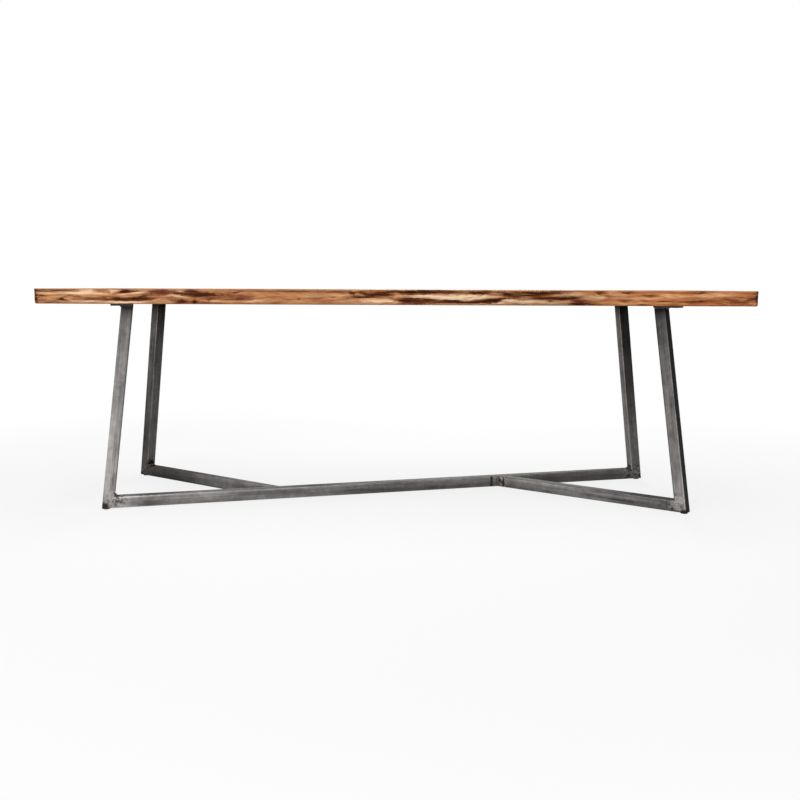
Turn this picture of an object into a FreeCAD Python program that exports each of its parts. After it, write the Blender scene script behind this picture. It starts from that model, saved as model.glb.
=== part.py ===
import FreeCAD, Part
import math
import os

import Sketcher
from FreeCAD import Placement, Rotation, Vector

# Live-edge desk: a solid wood top of three glued boards on a welded square-tube base.
# X runs along the top, Y to the back and Z up. The origin lies on the floor under the middle of the top.
# The base has one long floor rail from the front left foot to the rear right foot. A short rail
# branches off each half of it to the other two feet, and a leaning leg rises from every foot.

# Driving sizes in millimetres and degrees
SIZES = [
    ("table_height", 770, "floor to upper face of the top"),
    ("top_length", 2400, "length of the top"),
    ("top_width", 800, "width of the top across its widest points"),
    ("top_thickness", 50, "thickness of the boards"),
    ("edge_board_width", 280, "width of a live-edge board at its widest"),
    ("live_edge_wander", 12, "how far a live edge wanders in from the widest line"),
    ("end_corner", 10, "radius of the top's four corners in plan"),
    ("upper_arris", 3, "rounding of the top's upper edges"),
    ("lower_arris", 7, "rounding of the top's lower edges"),
    ("tube_side", 40, "outer side of the square tube"),
    ("tube_wall", 2, "wall of the square tube"),
    ("tube_corner", 4, "outer corner radius of the square tube"),
    ("long_rail_length", 2110, "long floor rail, heel to heel"),
    ("long_rail_angle", 16.5, "turn of the long floor rail in plan"),
    ("long_frame_lean", 7, "inward lean of the legs on the long rail"),
    ("joint_offset", 435, "middle of the long rail to a short rail's axis"),
    ("short_rail_length", 755, "long rail's axis to a short rail's heel"),
    ("short_rail_angle", 34.5, "turn of a short floor rail in plan, the other way"),
    ("short_frame_lean", 8.25, "inward lean of the legs on the short rails"),
    ("base_shift", -15, "middle of the base from the middle of the top"),
    ("weld_leg", 5, "leg of a weld bead"),
    ("plate_thickness", 8, "thickness of a top plate"),
    ("long_plate_overhang", 35, "top plate past the outer face of a leg on the long rail"),
    ("short_plate_overhang", 47, "top plate past the outer face of a leg on a short rail"),
    ("plate_rim", 1, "top plate past the welds beside its leg"),
    ("bolt_edge", 13, "bolts from the outer edge and the sides of the top plate"),
    ("bolt_diameter", 6, "thread of the bolts"),
    ("bolt_length", 20, "bolt under its head"),
    ("bolt_head_diameter", 10.5, "button head across"),
    ("bolt_head_height", 3.3, "button head deep"),
    ("bolt_head_round", 2.4, "rounding of the button head"),
    ("socket_width", 4, "hexagon socket across flats"),
    ("socket_depth", 2, "hexagon socket deep"),
    ("washer_diameter", 12.5, "washer across"),
    ("washer_thickness", 1.6, "washer thick"),
    ("hole_clearance", 0.6, "bolt holes wider than the bolt"),
    ("sink_clearance", 1, "counterbores wider than the washer"),
    ("insert_diameter", 10, "threaded insert across"),
    ("insert_length", 15, "threaded insert long"),
    ("insert_clearance", 0.1, "bores wider than what is screwed into them"),
    ("insert_hole_extra", 6, "insert holes deeper than the insert"),
    ("glide_diameter", 26, "foot glide across"),
    ("glide_height", 5, "foot glide under the rail"),
    ("glide_round", 3, "rounding of the glide's lower rim"),
    ("glide_heel", 2, "glide's rim from the heel of the foot"),
    ("glide_stem_diameter", 8, "push-in stem of a glide across"),
    ("glide_stem_length", 8, "push-in stem of a glide long"),
    ("stem_clearance", 0.2, "stem hole wider than the stem"),
]

# Values worked out from the driving sizes, as (name, expression)
DERIVED = [
    ("top_underside", "Sizes.table_height - Sizes.top_thickness"),
    ("plate_underside", "Sizes.table_height - Sizes.top_thickness - Sizes.plate_thickness"),
    ("leg_rise", "Derived.plate_underside - Sizes.glide_height"),
    ("rail_axis", "Sizes.glide_height + Sizes.tube_side / 2"),
    ("rail_top", "Sizes.glide_height + Sizes.tube_side"),
    ("fork_angle", "Sizes.long_rail_angle + Sizes.short_rail_angle"),
    ("long_heel_x", "Sizes.long_rail_length / 2 * cos(Sizes.long_rail_angle)"),
    ("long_heel_y", "Sizes.long_rail_length / 2 * sin(Sizes.long_rail_angle)"),
    ("joint_x", "Sizes.joint_offset * cos(Sizes.long_rail_angle)"),
    ("joint_y", "Sizes.joint_offset * sin(Sizes.long_rail_angle)"),
    ("short_heel_x", "Derived.joint_x + Sizes.short_rail_length * cos(Sizes.short_rail_angle)"),
    ("short_heel_y", "Derived.joint_y - Sizes.short_rail_length * sin(Sizes.short_rail_angle)"),
    ("plate_half_width", "Sizes.tube_side / 2 + Sizes.weld_leg + Sizes.plate_rim"),
    ("bolt_across", "Derived.plate_half_width - Sizes.bolt_edge"),
    ("sink_depth", "Sizes.washer_thickness + Sizes.bolt_head_height"),
    ("glide_inset", "Sizes.glide_heel + Sizes.glide_diameter / 2"),
    ("flat_width", "Sizes.tube_side - 2 * Sizes.tube_corner"),
]

# The feet, as (name, frame, side). The second foot of a frame is the first turned half round.
FEET = [
    ("rear_right", "long", 1),
    ("front_left", "long", -1),
    ("front_right", "short", 1),
    ("rear_left", "short", -1),
]

# The short floor rails, as (name, side)
SHORT_RAILS = [("front_right", 1), ("rear_left", -1)]

# Turn in plan of the frames, on the side where X is positive, and how far their top plates reach out
FRAME_ANGLE = {"long": "Sizes.long_rail_angle", "short": "-Sizes.short_rail_angle"}
PLATE_OVERHANG = {"long": "Sizes.long_plate_overhang", "short": "Sizes.short_plate_overhang"}

# Numbers of a sketch's two axes, of a line's start and end, and of a circle's centre
HORIZONTAL_AXIS = -1
VERTICAL_AXIS = -2
START = 1
END = 2
CENTRE = 3

HEXAGON_SIDES = 6

# The live-edge boards, as (name, side, phase of the edge, feet whose plates are bolted to the board)
LIVE_EDGES = [
    ("front_live_edge_board", -1, 0.9, ("front_left", "front_right")),
    ("rear_live_edge_board", 1, 3.4, ("rear_left", "rear_right")),
]

# Points that a live edge is drawn through, and its waves, as (waves along the board, share, phase factor)
LIVE_EDGE_POINTS = 33
LIVE_EDGE_WAVES = [(1.6, 0.27, 1.0), (3.7, 0.15, 2.1), (8.3, 0.08, 0.7)]

doc = FreeCAD.newDocument("live_edge_desk")
sheet = doc.addObject("Spreadsheet::Sheet", "Sizes")
for row, (alias, value, meaning) in enumerate(SIZES, start=1):
    sheet.set(f"A{row}", alias)
    sheet.set(f"B{row}", str(value))
    sheet.set(f"C{row}", meaning)
    sheet.setAlias(f"B{row}", alias)
doc.recompute()

derived = doc.addObject("App::VarSet", "Derived")
for name, expression in DERIVED:
    derived.addProperty("App::PropertyFloat", name, "Derived")
    derived.setExpression(name, expression)
    doc.recompute()

nodes = []


def number(expression):
    """Value of an expression over the sheet."""
    return float(derived.evalExpression(str(expression)))


def keep(piece, label):
    """Give a finished piece its node name and list it for writing."""
    piece.Label = label
    nodes.append(piece)
    return piece


def place(piece, x, y, z, yaw="0", pitch="0", roll="0"):
    """Bind the place of a piece to expressions."""
    piece.setExpression(
        "Placement",
        f"placement(vector({x}; {y}; {z}); rotation({yaw}; {pitch}; {roll}))",
    )


# Places at a foot. The frame of a foot starts at its heel, runs outwards along the rail and to the left.


def foot_yaw(frame, side):
    """Direction in plan in which a foot's rail runs outwards."""
    turn = "" if side > 0 else " + 180"
    return f"{FRAME_ANGLE[frame]}{turn}"


def foot_point(frame, side, along, across="0"):
    """Place in plan of a point given outwards from a heel and across the rail."""
    angle = FRAME_ANGLE[frame]
    x = f"Derived.{frame}_heel_x + ({along}) * cos({angle}) - ({across}) * sin({angle})"
    y = f"Derived.{frame}_heel_y + ({along}) * sin({angle}) + ({across}) * cos({angle})"
    return f"Sizes.base_shift + {side} * ({x})", f"{side} * ({y})"


def lean(frame):
    """Lean of a frame's legs."""
    return f"Sizes.{frame}_frame_lean"


def mitre(frame):
    """How far the mitre of a leg and a rail runs along each of them."""
    return f"Sizes.tube_side * (1 + sin({lean(frame)})) / cos({lean(frame)})"


def leg_top(frame):
    """Outer face of a leg at the plate, outwards from the heel."""
    return f"-Derived.leg_rise * tan({lean(frame)})"


def leg_span(frame):
    """Leg measured level along its rail."""
    return f"Sizes.tube_side / cos({lean(frame)})"


# Sketches


def new_sketch(body, name, role, lift=None):
    """Sketch on an origin plane of its own body, lifted off it if asked."""
    plane = [feature for feature in body.Origin.OriginFeatures if feature.Role == role][0]
    sketch = body.newObject("Sketcher::SketchObject", name)
    sketch.AttachmentSupport = [(plane, "")]
    sketch.MapMode = "FlatFace"
    if lift:
        sketch.setExpression("AttachmentOffset.Base.z", lift)
    return sketch


def pin(sketch, element, point, x, y):
    """Hold a point of an element at an x and a y given as expressions."""
    for kind, axis, expression in (("DistanceX", VERTICAL_AXIS, x), ("DistanceY", HORIZONTAL_AXIS, y)):
        if expression == "0":
            sketch.addConstraint(Sketcher.Constraint("PointOnObject", element, point, axis))
            continue
        distance = Sketcher.Constraint(kind, HORIZONTAL_AXIS, START, element, point, number(expression))
        index = sketch.addConstraint(distance)
        sketch.setExpression(f"Constraints[{index}]", expression)


def draw_outline(sketch, corners):
    """Closed outline of straight lines through corners given as expressions."""
    first = sketch.GeometryCount
    points = [Vector(number(x), number(y), 0) for x, y in corners]
    for index, point in enumerate(points):
        following = points[(index + 1) % len(points)]
        sketch.addGeometry(Part.LineSegment(point, following), False)
    for index, (x, y) in enumerate(corners):
        before = first + (index - 1) % len(corners)
        sketch.addConstraint(Sketcher.Constraint("Coincident", before, END, first + index, START))
        pin(sketch, first + index, START, x, y)


def draw_circle(sketch, x, y, diameter):
    """Circle at a place, with a diameter, all given as expressions."""
    centre = Vector(number(x), number(y), 0)
    circle = Part.Circle(centre, Vector(0, 0, 1), number(diameter) / 2)
    element = sketch.addGeometry(circle, False)
    pin(sketch, element, CENTRE, x, y)
    index = sketch.addConstraint(Sketcher.Constraint("Diameter", element, number(diameter)))
    sketch.setExpression(f"Constraints[{index}]", diameter)


# Features


def pad(body, sketch, length, symmetric=False, downwards=False):
    """Pad a sketch to a length given as an expression."""
    feature = body.newObject("PartDesign::Pad", f"{sketch.Name}_pad")
    feature.Profile = sketch
    feature.setExpression("Length", length)
    feature.Midplane = symmetric
    feature.Reversed = downwards
    doc.recompute()
    return feature


def pocket(body, sketch, depth=None, symmetric=False, upwards=False):
    """Cut a sketch to a depth, or through all, and make sure that it took something away."""
    before = body.Shape.Volume
    feature = body.newObject("PartDesign::Pocket", f"{sketch.Name}_pocket")
    feature.Profile = sketch
    feature.Midplane = symmetric
    feature.Reversed = upwards
    if depth:
        feature.setExpression("Length", depth)
    else:
        feature.Type = "ThroughAll"
    doc.recompute()
    if not body.Shape.Volume < before:
        raise RuntimeError(f"{feature.Name} cuts nothing")
    return feature


def fillet(body, name, base, radius, chosen):
    """Round the edges of a feature that a test chooses."""
    feature = body.newObject("PartDesign::Fillet", name)
    edges = [f"Edge{index}" for index, edge in enumerate(base.Shape.Edges, start=1) if chosen(edge)]
    feature.Base = (base, edges)
    feature.setExpression("Radius", radius)
    doc.recompute()
    return feature


# Square tube


def square_corners(side, shift="0"):
    """Corners of a square about the origin, moved along the sketch's first axis."""
    half = f"({side}) / 2"
    return [
        (f"{shift} - {half}", f"-{half}"),
        (f"{shift} + {half}", f"-{half}"),
        (f"{shift} + {half}", half),
        (f"{shift} - {half}", half),
    ]


def tube(label, role, length, shift="0", symmetric=False):
    """Body of a straight square tube with rounded corners, along the normal of an origin plane."""
    body = doc.addObject("PartDesign::Body", label)
    section = new_sketch(body, f"{label}_section", role)
    draw_outline(section, square_corners("Sizes.tube_side", shift))
    draw_outline(section, square_corners("Sizes.tube_side - 2 * Sizes.tube_wall", shift))
    bar = pad(body, section, length, symmetric)

    run = number(length)
    wall = number("Sizes.tube_wall")
    upright = role == "XY_Plane"
    axis_point = Vector(number(shift), 0, 0) if upright else Vector(0, 0, 0)
    axis = Vector(0, 0, 1) if upright else Vector(1, 0, 0)
    mid_wall = number("(Sizes.tube_side - Sizes.tube_wall) / sqrt(2)")

    def is_lengthwise(edge):
        return abs(edge.Length - run) < wall

    def is_bore_corner(edge):
        return is_lengthwise(edge) and edge.CenterOfMass.distanceToLine(axis_point, axis) < mid_wall

    def is_outer_corner(edge):
        return is_lengthwise(edge) and edge.CenterOfMass.distanceToLine(axis_point, axis) > mid_wall

    bored = fillet(body, f"{label}_bore_corners", bar, "Sizes.tube_corner - Sizes.tube_wall", is_bore_corner)
    fillet(body, f"{label}_outer_corners", bored, "Sizes.tube_corner", is_outer_corner)
    return keep(body, label)


def cut_mitres(body, name, frame, ends):
    """Cut the ends of a rail to the mitres of its legs, given as (heel, direction)."""
    sketch = new_sketch(body, f"{name}_mitres", "XZ_Plane")
    half = "Sizes.tube_side / 2"
    for heel, direction in ends:
        inner = f"{heel} - {direction} * {mitre(frame)}"
        draw_outline(sketch, [(heel, f"-{half}"), (heel, half), (inner, half)])
    pocket(body, sketch, symmetric=True)


def drill_stem_holes(body, name, places):
    """Drill the rail's lower wall for the stems of the glides."""
    sketch = new_sketch(body, f"{name}_stem_holes", "XY_Plane")
    for x in places:
        draw_circle(sketch, x, "0", "Sizes.glide_stem_diameter + Sizes.stem_clearance")
    pocket(body, sketch)


def long_rail():
    """Long floor rail, mitred at both heels."""
    label = "long_floor_rail"
    half = "Sizes.long_rail_length / 2"
    body = tube(label, "YZ_Plane", "Sizes.long_rail_length", symmetric=True)
    cut_mitres(body, label, "long", [(half, 1), (f"-{half}", -1)])
    inset = f"({half} - Derived.glide_inset)"
    drill_stem_holes(body, label, [inset, f"-{inset}"])
    place(body, "Sizes.base_shift", "0", "Derived.rail_axis", "Sizes.long_rail_angle")


def short_rail(name, side):
    """Short floor rail, cut to the side of the long rail and mitred at its heel."""
    label = f"{name}_floor_rail"
    half = "Sizes.tube_side / 2"
    body = tube(label, "YZ_Plane", "Sizes.short_rail_length")
    cut_mitres(body, label, "short", [("Sizes.short_rail_length", 1)])
    drill_stem_holes(body, label, ["Sizes.short_rail_length - Derived.glide_inset"])
    joint = new_sketch(body, f"{label}_joint", "XY_Plane")
    near, far = joint_corners()
    draw_outline(joint, [("0", f"-{half}"), (near, f"-{half}"), (far, half), ("0", half)])
    pocket(body, joint, symmetric=True)
    x = f"Sizes.base_shift + {side} * Derived.joint_x"
    place(body, x, f"{side} * Derived.joint_y", "Derived.rail_axis", foot_yaw("short", side))


def joint_corners():
    """Where the two sides of a short rail meet the side of the long rail, along the short rail."""
    half = "Sizes.tube_side / 2"
    near = f"{half} * (1 - cos(Derived.fork_angle)) / sin(Derived.fork_angle)"
    far = f"{half} * (1 + cos(Derived.fork_angle)) / sin(Derived.fork_angle)"
    return near, far


def leg(name, frame, side):
    """Leaning leg, mitred to its rail at the heel and cut level under its plate."""
    label = f"{name}_leg"
    outer = f"Derived.leg_rise / cos({lean(frame)})"
    inner = f"{outer} + Sizes.tube_side * tan({lean(frame)})"
    body = tube(label, "XY_Plane", inner, shift="-Sizes.tube_side / 2")
    foot = new_sketch(body, f"{label}_mitre", "XZ_Plane")
    draw_outline(foot, [("0", "0"), ("-Sizes.tube_side", mitre(frame)), ("-Sizes.tube_side", "0")])
    pocket(body, foot, symmetric=True)
    top = new_sketch(body, f"{label}_level", "XZ_Plane")
    draw_outline(top, [("0", outer), ("0", inner), ("-Sizes.tube_side", inner)])
    pocket(body, top, symmetric=True)
    x, y = foot_point(frame, side, "0")
    place(body, x, y, "Sizes.glide_height", foot_yaw(frame, side), f"-{lean(frame)}")


def glide(name, frame, side):
    """Round foot glide with a push-in stem, under the heel."""
    label = f"{name}_glide"
    body = doc.addObject("PartDesign::Body", label)
    disc = new_sketch(body, f"{label}_disc", "XY_Plane")
    draw_circle(disc, "0", "0", "Sizes.glide_diameter")
    base = pad(body, disc, "Sizes.glide_height")
    half_height = number("Sizes.glide_height") / 2

    def lower_rim(edge):
        return edge.BoundBox.ZMax < half_height and edge.Curve.TypeId == "Part::GeomCircle"

    fillet(body, f"{label}_rim", base, "Sizes.glide_round", lower_rim)
    stem = new_sketch(body, f"{label}_stem", "XY_Plane", "Sizes.glide_height")
    draw_circle(stem, "0", "0", "Sizes.glide_stem_diameter")
    pad(body, stem, "Sizes.glide_stem_length")
    x, y = foot_point(frame, side, "-Derived.glide_inset")
    place(body, x, y, "0", foot_yaw(frame, side))
    keep(body, label)


# Top plates and what fastens them


def bolt_places(frame):
    """The two bolts of a plate, outwards and across from the leg's outer face."""
    outside = f"{PLATE_OVERHANG[frame]} - Sizes.bolt_edge"
    return [(outside, f"{hand} * Derived.bolt_across") for hand in (1, -1)]


def top_plate(name, frame, side):
    """Flat plate on top of a leg, flush with its inner face, with two counterbored bolt holes."""
    label = f"{name}_top_plate"
    body = doc.addObject("PartDesign::Body", label)
    outline = new_sketch(body, f"{label}_outline", "XY_Plane")
    inner = f"-{leg_span(frame)}"
    outer = PLATE_OVERHANG[frame]
    half = "Derived.plate_half_width"
    draw_outline(outline, [(inner, f"-{half}"), (outer, f"-{half}"), (outer, half), (inner, half)])
    pad(body, outline, "Sizes.plate_thickness")
    holes = new_sketch(body, f"{label}_holes", "XY_Plane")
    for along, across in bolt_places(frame):
        draw_circle(holes, along, across, "Sizes.bolt_diameter + Sizes.hole_clearance")
    pocket(body, holes, upwards=True)
    sinks = new_sketch(body, f"{label}_counterbores", "XY_Plane")
    for along, across in bolt_places(frame):
        draw_circle(sinks, along, across, "Sizes.washer_diameter + Sizes.sink_clearance")
    pocket(body, sinks, "Derived.sink_depth", upwards=True)
    x, y = foot_point(frame, side, leg_top(frame))
    place(body, x, y, "Derived.plate_underside", foot_yaw(frame, side))
    keep(body, label)


def bolt_pattern():
    """Places in plan of every bolt, as (foot name, x, y)."""
    return [
        (name, *foot_point(frame, side, f"{leg_top(frame)} + {along}", across))
        for name, frame, side in FEET
        for along, across in bolt_places(frame)
    ]


def bolt_template():
    """Button-head bolt with a hexagon socket, head down, seated at its own origin."""
    body = doc.addObject("PartDesign::Body", "bolt")
    head = new_sketch(body, "bolt_head", "XY_Plane")
    draw_circle(head, "0", "0", "Sizes.bolt_head_diameter")
    button = pad(body, head, "Sizes.bolt_head_height", downwards=True)
    half_height = number("Sizes.bolt_head_height") / 2

    def lower_rim(edge):
        return edge.BoundBox.ZMax < -half_height and edge.Curve.TypeId == "Part::GeomCircle"

    fillet(body, "bolt_head_rim", button, "Sizes.bolt_head_round", lower_rim)
    socket = new_sketch(body, "bolt_socket", "XY_Plane", "-Sizes.bolt_head_height")
    radius = f"Sizes.socket_width / 2 / cos({180 / HEXAGON_SIDES})"
    turns = [360 * index / HEXAGON_SIDES for index in range(HEXAGON_SIDES)]
    corners = [(f"{radius} * cos({turn})", f"{radius} * sin({turn})") for turn in turns]
    draw_outline(socket, corners)
    pocket(body, socket, "Sizes.socket_depth", upwards=True)
    shank = new_sketch(body, "bolt_shank", "XY_Plane")
    draw_circle(shank, "0", "0", "Sizes.bolt_diameter")
    pad(body, shank, "Sizes.bolt_length")
    return body


def ring_template(name, diameter, bore, height):
    """Flat ring or sleeve standing on its own origin."""
    body = doc.addObject("PartDesign::Body", name)
    section = new_sketch(body, f"{name}_section", "XY_Plane")
    draw_circle(section, "0", "0", diameter)
    draw_circle(section, "0", "0", bore)
    pad(body, section, height)
    return body


def group(label, template, z):
    """One node of a separate copy of a fastener at every bolt place."""
    copies = []
    for _, x, y in bolt_pattern():
        copy = template.Shape.copy()
        copy.Placement = Placement(Vector(number(x), number(y), number(z)), Rotation())
        copies.append(copy)
    piece = doc.addObject("Part::Feature", label)
    piece.Shape = Part.makeCompound(copies)
    keep(piece, label)


def fasteners():
    """Bolts, washers and threaded inserts that hold the top on its plates."""
    seat = "Derived.plate_underside + Sizes.bolt_head_height"
    group("plate_bolts", bolt_template(), seat)
    bore = "Sizes.bolt_diameter + Sizes.hole_clearance"
    washer = ring_template("washer", "Sizes.washer_diameter", bore, "Sizes.washer_thickness")
    group("plate_washers", washer, seat)
    thread = "Sizes.bolt_diameter + Sizes.insert_clearance"
    insert = ring_template("insert", "Sizes.insert_diameter", thread, "Sizes.insert_length")
    group("threaded_inserts", insert, "Derived.top_underside")


# Welds


def bead(name, angle, length):
    """Fillet weld with its root along Z, between the X axis and a face at an angle to it."""
    body = doc.addObject("PartDesign::Body", name)
    section = new_sketch(body, f"{name}_section", "XY_Plane")
    tip = (f"Sizes.weld_leg * cos({angle})", f"Sizes.weld_leg * sin({angle})")
    draw_outline(section, [("0", "0"), ("Sizes.weld_leg", "0"), tip])
    pad(body, section, length, symmetric=True)
    return body


def weld(label, beads):
    """One node of the beads of a welded joint."""
    piece = doc.addObject("Part::Compound", label)
    piece.Links = beads
    keep(piece, label)


def corner_weld(name, frame, side):
    """Bead in the inner corner of a leg and its rail."""
    label = f"{name}_corner_weld"
    body = bead(label, f"90 - {lean(frame)}", "Derived.flat_width")
    x, y = foot_point(frame, side, f"-{mitre(frame)}")
    place(body, x, y, "Derived.rail_top", f"{foot_yaw(frame, side)} + 180", "0", "90")
    keep(body, label)


def plate_weld(name, frame, side):
    """Beads on three sides of the top of a leg, under its plate."""
    label = f"{name}_plate_weld"
    span = leg_span(frame)
    half = "Sizes.tube_side / 2"
    across_leg = "Derived.flat_width"
    along_leg = f"Derived.flat_width / cos({lean(frame)})"
    runs = [
        ("outer", 0, "0", "0", f"90 - {lean(frame)}", across_leg),
        ("left", 90, f"-{span} / 2", half, "90", along_leg),
        ("right", 270, f"-{span} / 2", f"-{half}", "90", along_leg),
    ]
    beads = []
    for face, turn, along, across, angle, length in runs:
        body = bead(f"{label}_{face}", angle, length)
        x, y = foot_point(frame, side, f"{leg_top(frame)} + {along}", across)
        place(body, x, y, "Derived.plate_underside", f"{foot_yaw(frame, side)} + {turn}", "0", "-90")
        beads.append(body)
    weld(label, beads)


def rail_weld(name, side):
    """Upright beads on both sides of a short rail, against the long rail."""
    label = f"{name}_rail_weld"
    near, far = joint_corners()
    half = "Sizes.tube_side / 2"
    fork = "Derived.fork_angle"
    runs = [
        ("open", near, f"-{half}", f"{fork} + 180", f"180 - {fork}"),
        ("closed", far, half, "0", fork),
    ]
    beads = []
    for hand, along, across, turn, angle in runs:
        body = bead(f"{label}_{hand}", angle, "Derived.flat_width")
        x, y = foot_point("short", side, f"{along} - Sizes.short_rail_length", across)
        place(body, x, y, "Derived.rail_axis", f"{foot_yaw('short', side)} + {turn}")
        beads.append(body)
    weld(label, beads)


# Boards of the top


def live_edge(x, phase):
    """How far a live edge lies in from its widest line, as a slow uneven wave along the board."""
    turn = 2 * math.pi * x / number("Sizes.top_length")
    wave = sum(share * math.sin(count * turn + factor * phase) for count, share, factor in LIVE_EDGE_WAVES)
    return number("Sizes.live_edge_wander") * wave


def edge_points(phase):
    """Points of a live edge, whose widest one lies on the top's widest line."""
    half_length = number("Sizes.top_length") / 2
    step = 2 * half_length / (LIVE_EDGE_POINTS - 1)
    places = [index * step - half_length for index in range(LIVE_EDGE_POINTS)]
    insets = [live_edge(x, phase) for x in places]
    widest = min(insets)
    half_width = number("Sizes.top_width") / 2
    return [(x, inset - widest - half_width) for x, inset in zip(places, insets)]


def board(label, draw, rounded_corners, hole_feet):
    """Board of the top from its drawn outline, with eased edges and holes for the inserts of some feet."""
    body = doc.addObject("PartDesign::Body", label)
    sketch = new_sketch(body, f"{label}_outline", "XY_Plane")
    draw(sketch)
    slab = pad(body, sketch, "Sizes.top_thickness")
    half_length = number("Sizes.top_length") / 2
    thickness = number("Sizes.top_thickness")
    near = number("Sizes.upper_arris")

    def is_corner(edge):
        box = edge.BoundBox
        upright = box.ZLength > thickness - near
        at_end = abs(abs(box.Center.x) - half_length) < near
        return upright and at_end and abs(box.Center.y) > rounded_corners

    if rounded_corners:
        slab = fillet(body, f"{label}_corners", slab, "Sizes.end_corner", is_corner)

    def is_outside(edge):
        box = edge.BoundBox
        at_end = abs(abs(box.Center.x) - half_length) < near and box.XLength < near
        curved = edge.Curve.TypeId != "Part::GeomLine"
        return box.ZLength < near and (at_end or curved)

    def is_upper(edge):
        return is_outside(edge) and edge.BoundBox.ZMin > thickness / 2

    def is_lower(edge):
        return is_outside(edge) and edge.BoundBox.ZMax < thickness / 2

    slab = fillet(body, f"{label}_upper_arris", slab, "Sizes.upper_arris", is_upper)
    slab = fillet(body, f"{label}_lower_arris", slab, "Sizes.lower_arris", is_lower)
    if hole_feet:
        holes = new_sketch(body, f"{label}_insert_holes", "XY_Plane")
        for name, x, y in bolt_pattern():
            if name in hole_feet:
                draw_circle(holes, x, y, "Sizes.insert_diameter + Sizes.insert_clearance")
        pocket(body, holes, "Sizes.insert_length + Sizes.insert_hole_extra", upwards=True)
    place(body, "0", "0", "Derived.top_underside")
    keep(body, label)


def edge_board(label, side, phase, hole_feet):
    """Board whose outer edge is the tree's own."""
    joint = f"{side} * (Sizes.top_width / 2 - Sizes.edge_board_width)"
    points = [Vector(x, -side * y, 0) for x, y in edge_points(phase)]

    def draw(sketch):
        curve = Part.BSplineCurve()
        curve.interpolate(points)
        sketch.addGeometry(curve, False)
        sketch.addConstraint(Sketcher.Constraint("Block", 0))
        right = Vector(points[-1].x, number(joint), 0)
        left = Vector(points[0].x, number(joint), 0)
        corners = [points[-1], right, left, points[0]]
        for line, (start, end) in enumerate(zip(corners, corners[1:]), start=1):
            sketch.addGeometry(Part.LineSegment(start, end), False)
            sketch.addConstraint(Sketcher.Constraint("Coincident", line - 1, END, line, START))
        sketch.addConstraint(Sketcher.Constraint("Coincident", len(corners) - 1, END, 0, START))
        pin(sketch, 1, END, "Sizes.top_length / 2", joint)
        pin(sketch, 2, END, "-Sizes.top_length / 2", joint)

    board(label, draw, abs(number(joint)) + number("Sizes.end_corner"), hole_feet)


def middle_board(label):
    """Straight board between the two live-edge boards."""
    right = "Sizes.top_length / 2"
    back = "(Sizes.top_width / 2 - Sizes.edge_board_width)"
    corners = [(f"-{right}", f"-{back}"), (right, f"-{back}"), (right, back), (f"-{right}", back)]

    def draw(sketch):
        draw_outline(sketch, corners)

    board(label, draw, 0, [])


middle_board("middle_board")
for name, side, phase, bolted_feet in LIVE_EDGES:
    edge_board(name, side, phase, bolted_feet)

long_rail()
for name, side in SHORT_RAILS:
    short_rail(name, side)
    rail_weld(name, side)
for name, frame, side in FEET:
    leg(name, frame, side)
    corner_weld(name, frame, side)
    top_plate(name, frame, side)
    plate_weld(name, frame, side)
    glide(name, frame, side)
fasteners()
doc.recompute()

for piece in doc.Objects:
    if "Invalid" in piece.State or "Error" in piece.State:
        raise RuntimeError(f"{piece.Label} failed: {piece.State}")
for piece in nodes:
    if piece.Shape.isNull() or not piece.Shape.isValid():
        raise RuntimeError(f"{piece.Label} has no valid shape")

os.makedirs("parts", exist_ok=True)
for piece in nodes:
    piece.Shape.exportStep(f"parts/{piece.Label}.step")
    print(piece.Label, len(piece.Shape.Solids), round(piece.Shape.Volume))
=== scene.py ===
# %% [markdown]
# # A live-edge desk on a welded steel base
#
# The real desk has a thick wooden top that keeps the tree's own edge, a floor frame and four legs of square
# steel tube, and the small hardware that joins them. The CAD model already holds every size, so this lesson
# only dresses it. Tubes, plates, bolts and glides keep their CAD shape and get a finish. The live edges and
# the weld beads live from an uneven surface that CAD leaves out, so those are modelled again here.

import math
import random

import bpy
from mathutils import Euler, Matrix, Vector, noise


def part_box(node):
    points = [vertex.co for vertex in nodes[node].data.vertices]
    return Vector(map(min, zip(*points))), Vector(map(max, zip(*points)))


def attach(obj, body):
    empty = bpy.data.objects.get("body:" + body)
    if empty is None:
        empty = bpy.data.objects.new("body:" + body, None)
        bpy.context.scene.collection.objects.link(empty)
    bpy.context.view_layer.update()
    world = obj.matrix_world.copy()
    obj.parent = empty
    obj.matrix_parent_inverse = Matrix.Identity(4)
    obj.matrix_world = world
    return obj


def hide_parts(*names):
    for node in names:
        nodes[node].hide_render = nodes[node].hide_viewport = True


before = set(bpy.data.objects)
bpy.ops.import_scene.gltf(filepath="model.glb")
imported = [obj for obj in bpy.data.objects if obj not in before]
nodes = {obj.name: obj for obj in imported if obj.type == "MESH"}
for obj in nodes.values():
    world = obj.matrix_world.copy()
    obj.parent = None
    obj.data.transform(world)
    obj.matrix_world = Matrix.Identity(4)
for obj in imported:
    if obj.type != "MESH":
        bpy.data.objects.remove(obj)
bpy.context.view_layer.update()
print("loaded", len(nodes), "CAD pieces")

# %% [markdown]
# ## Camera
#
# A photo of a desk taken at the height of its top looks almost straight along it, so the upper face is a
# thin line. The camera could be placed by eye, but here its place and turn were worked out from the tube
# edges, and are simply written down.

# %% Camera
LENS = 41.66
CAMERA_PLACE = (0.0743, -3.4686, 0.7780)
LOOK_RIGHT = -0.0170
LOOK_DOWN = 0.1210
CAMERA_ROLL = 0.0038

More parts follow.
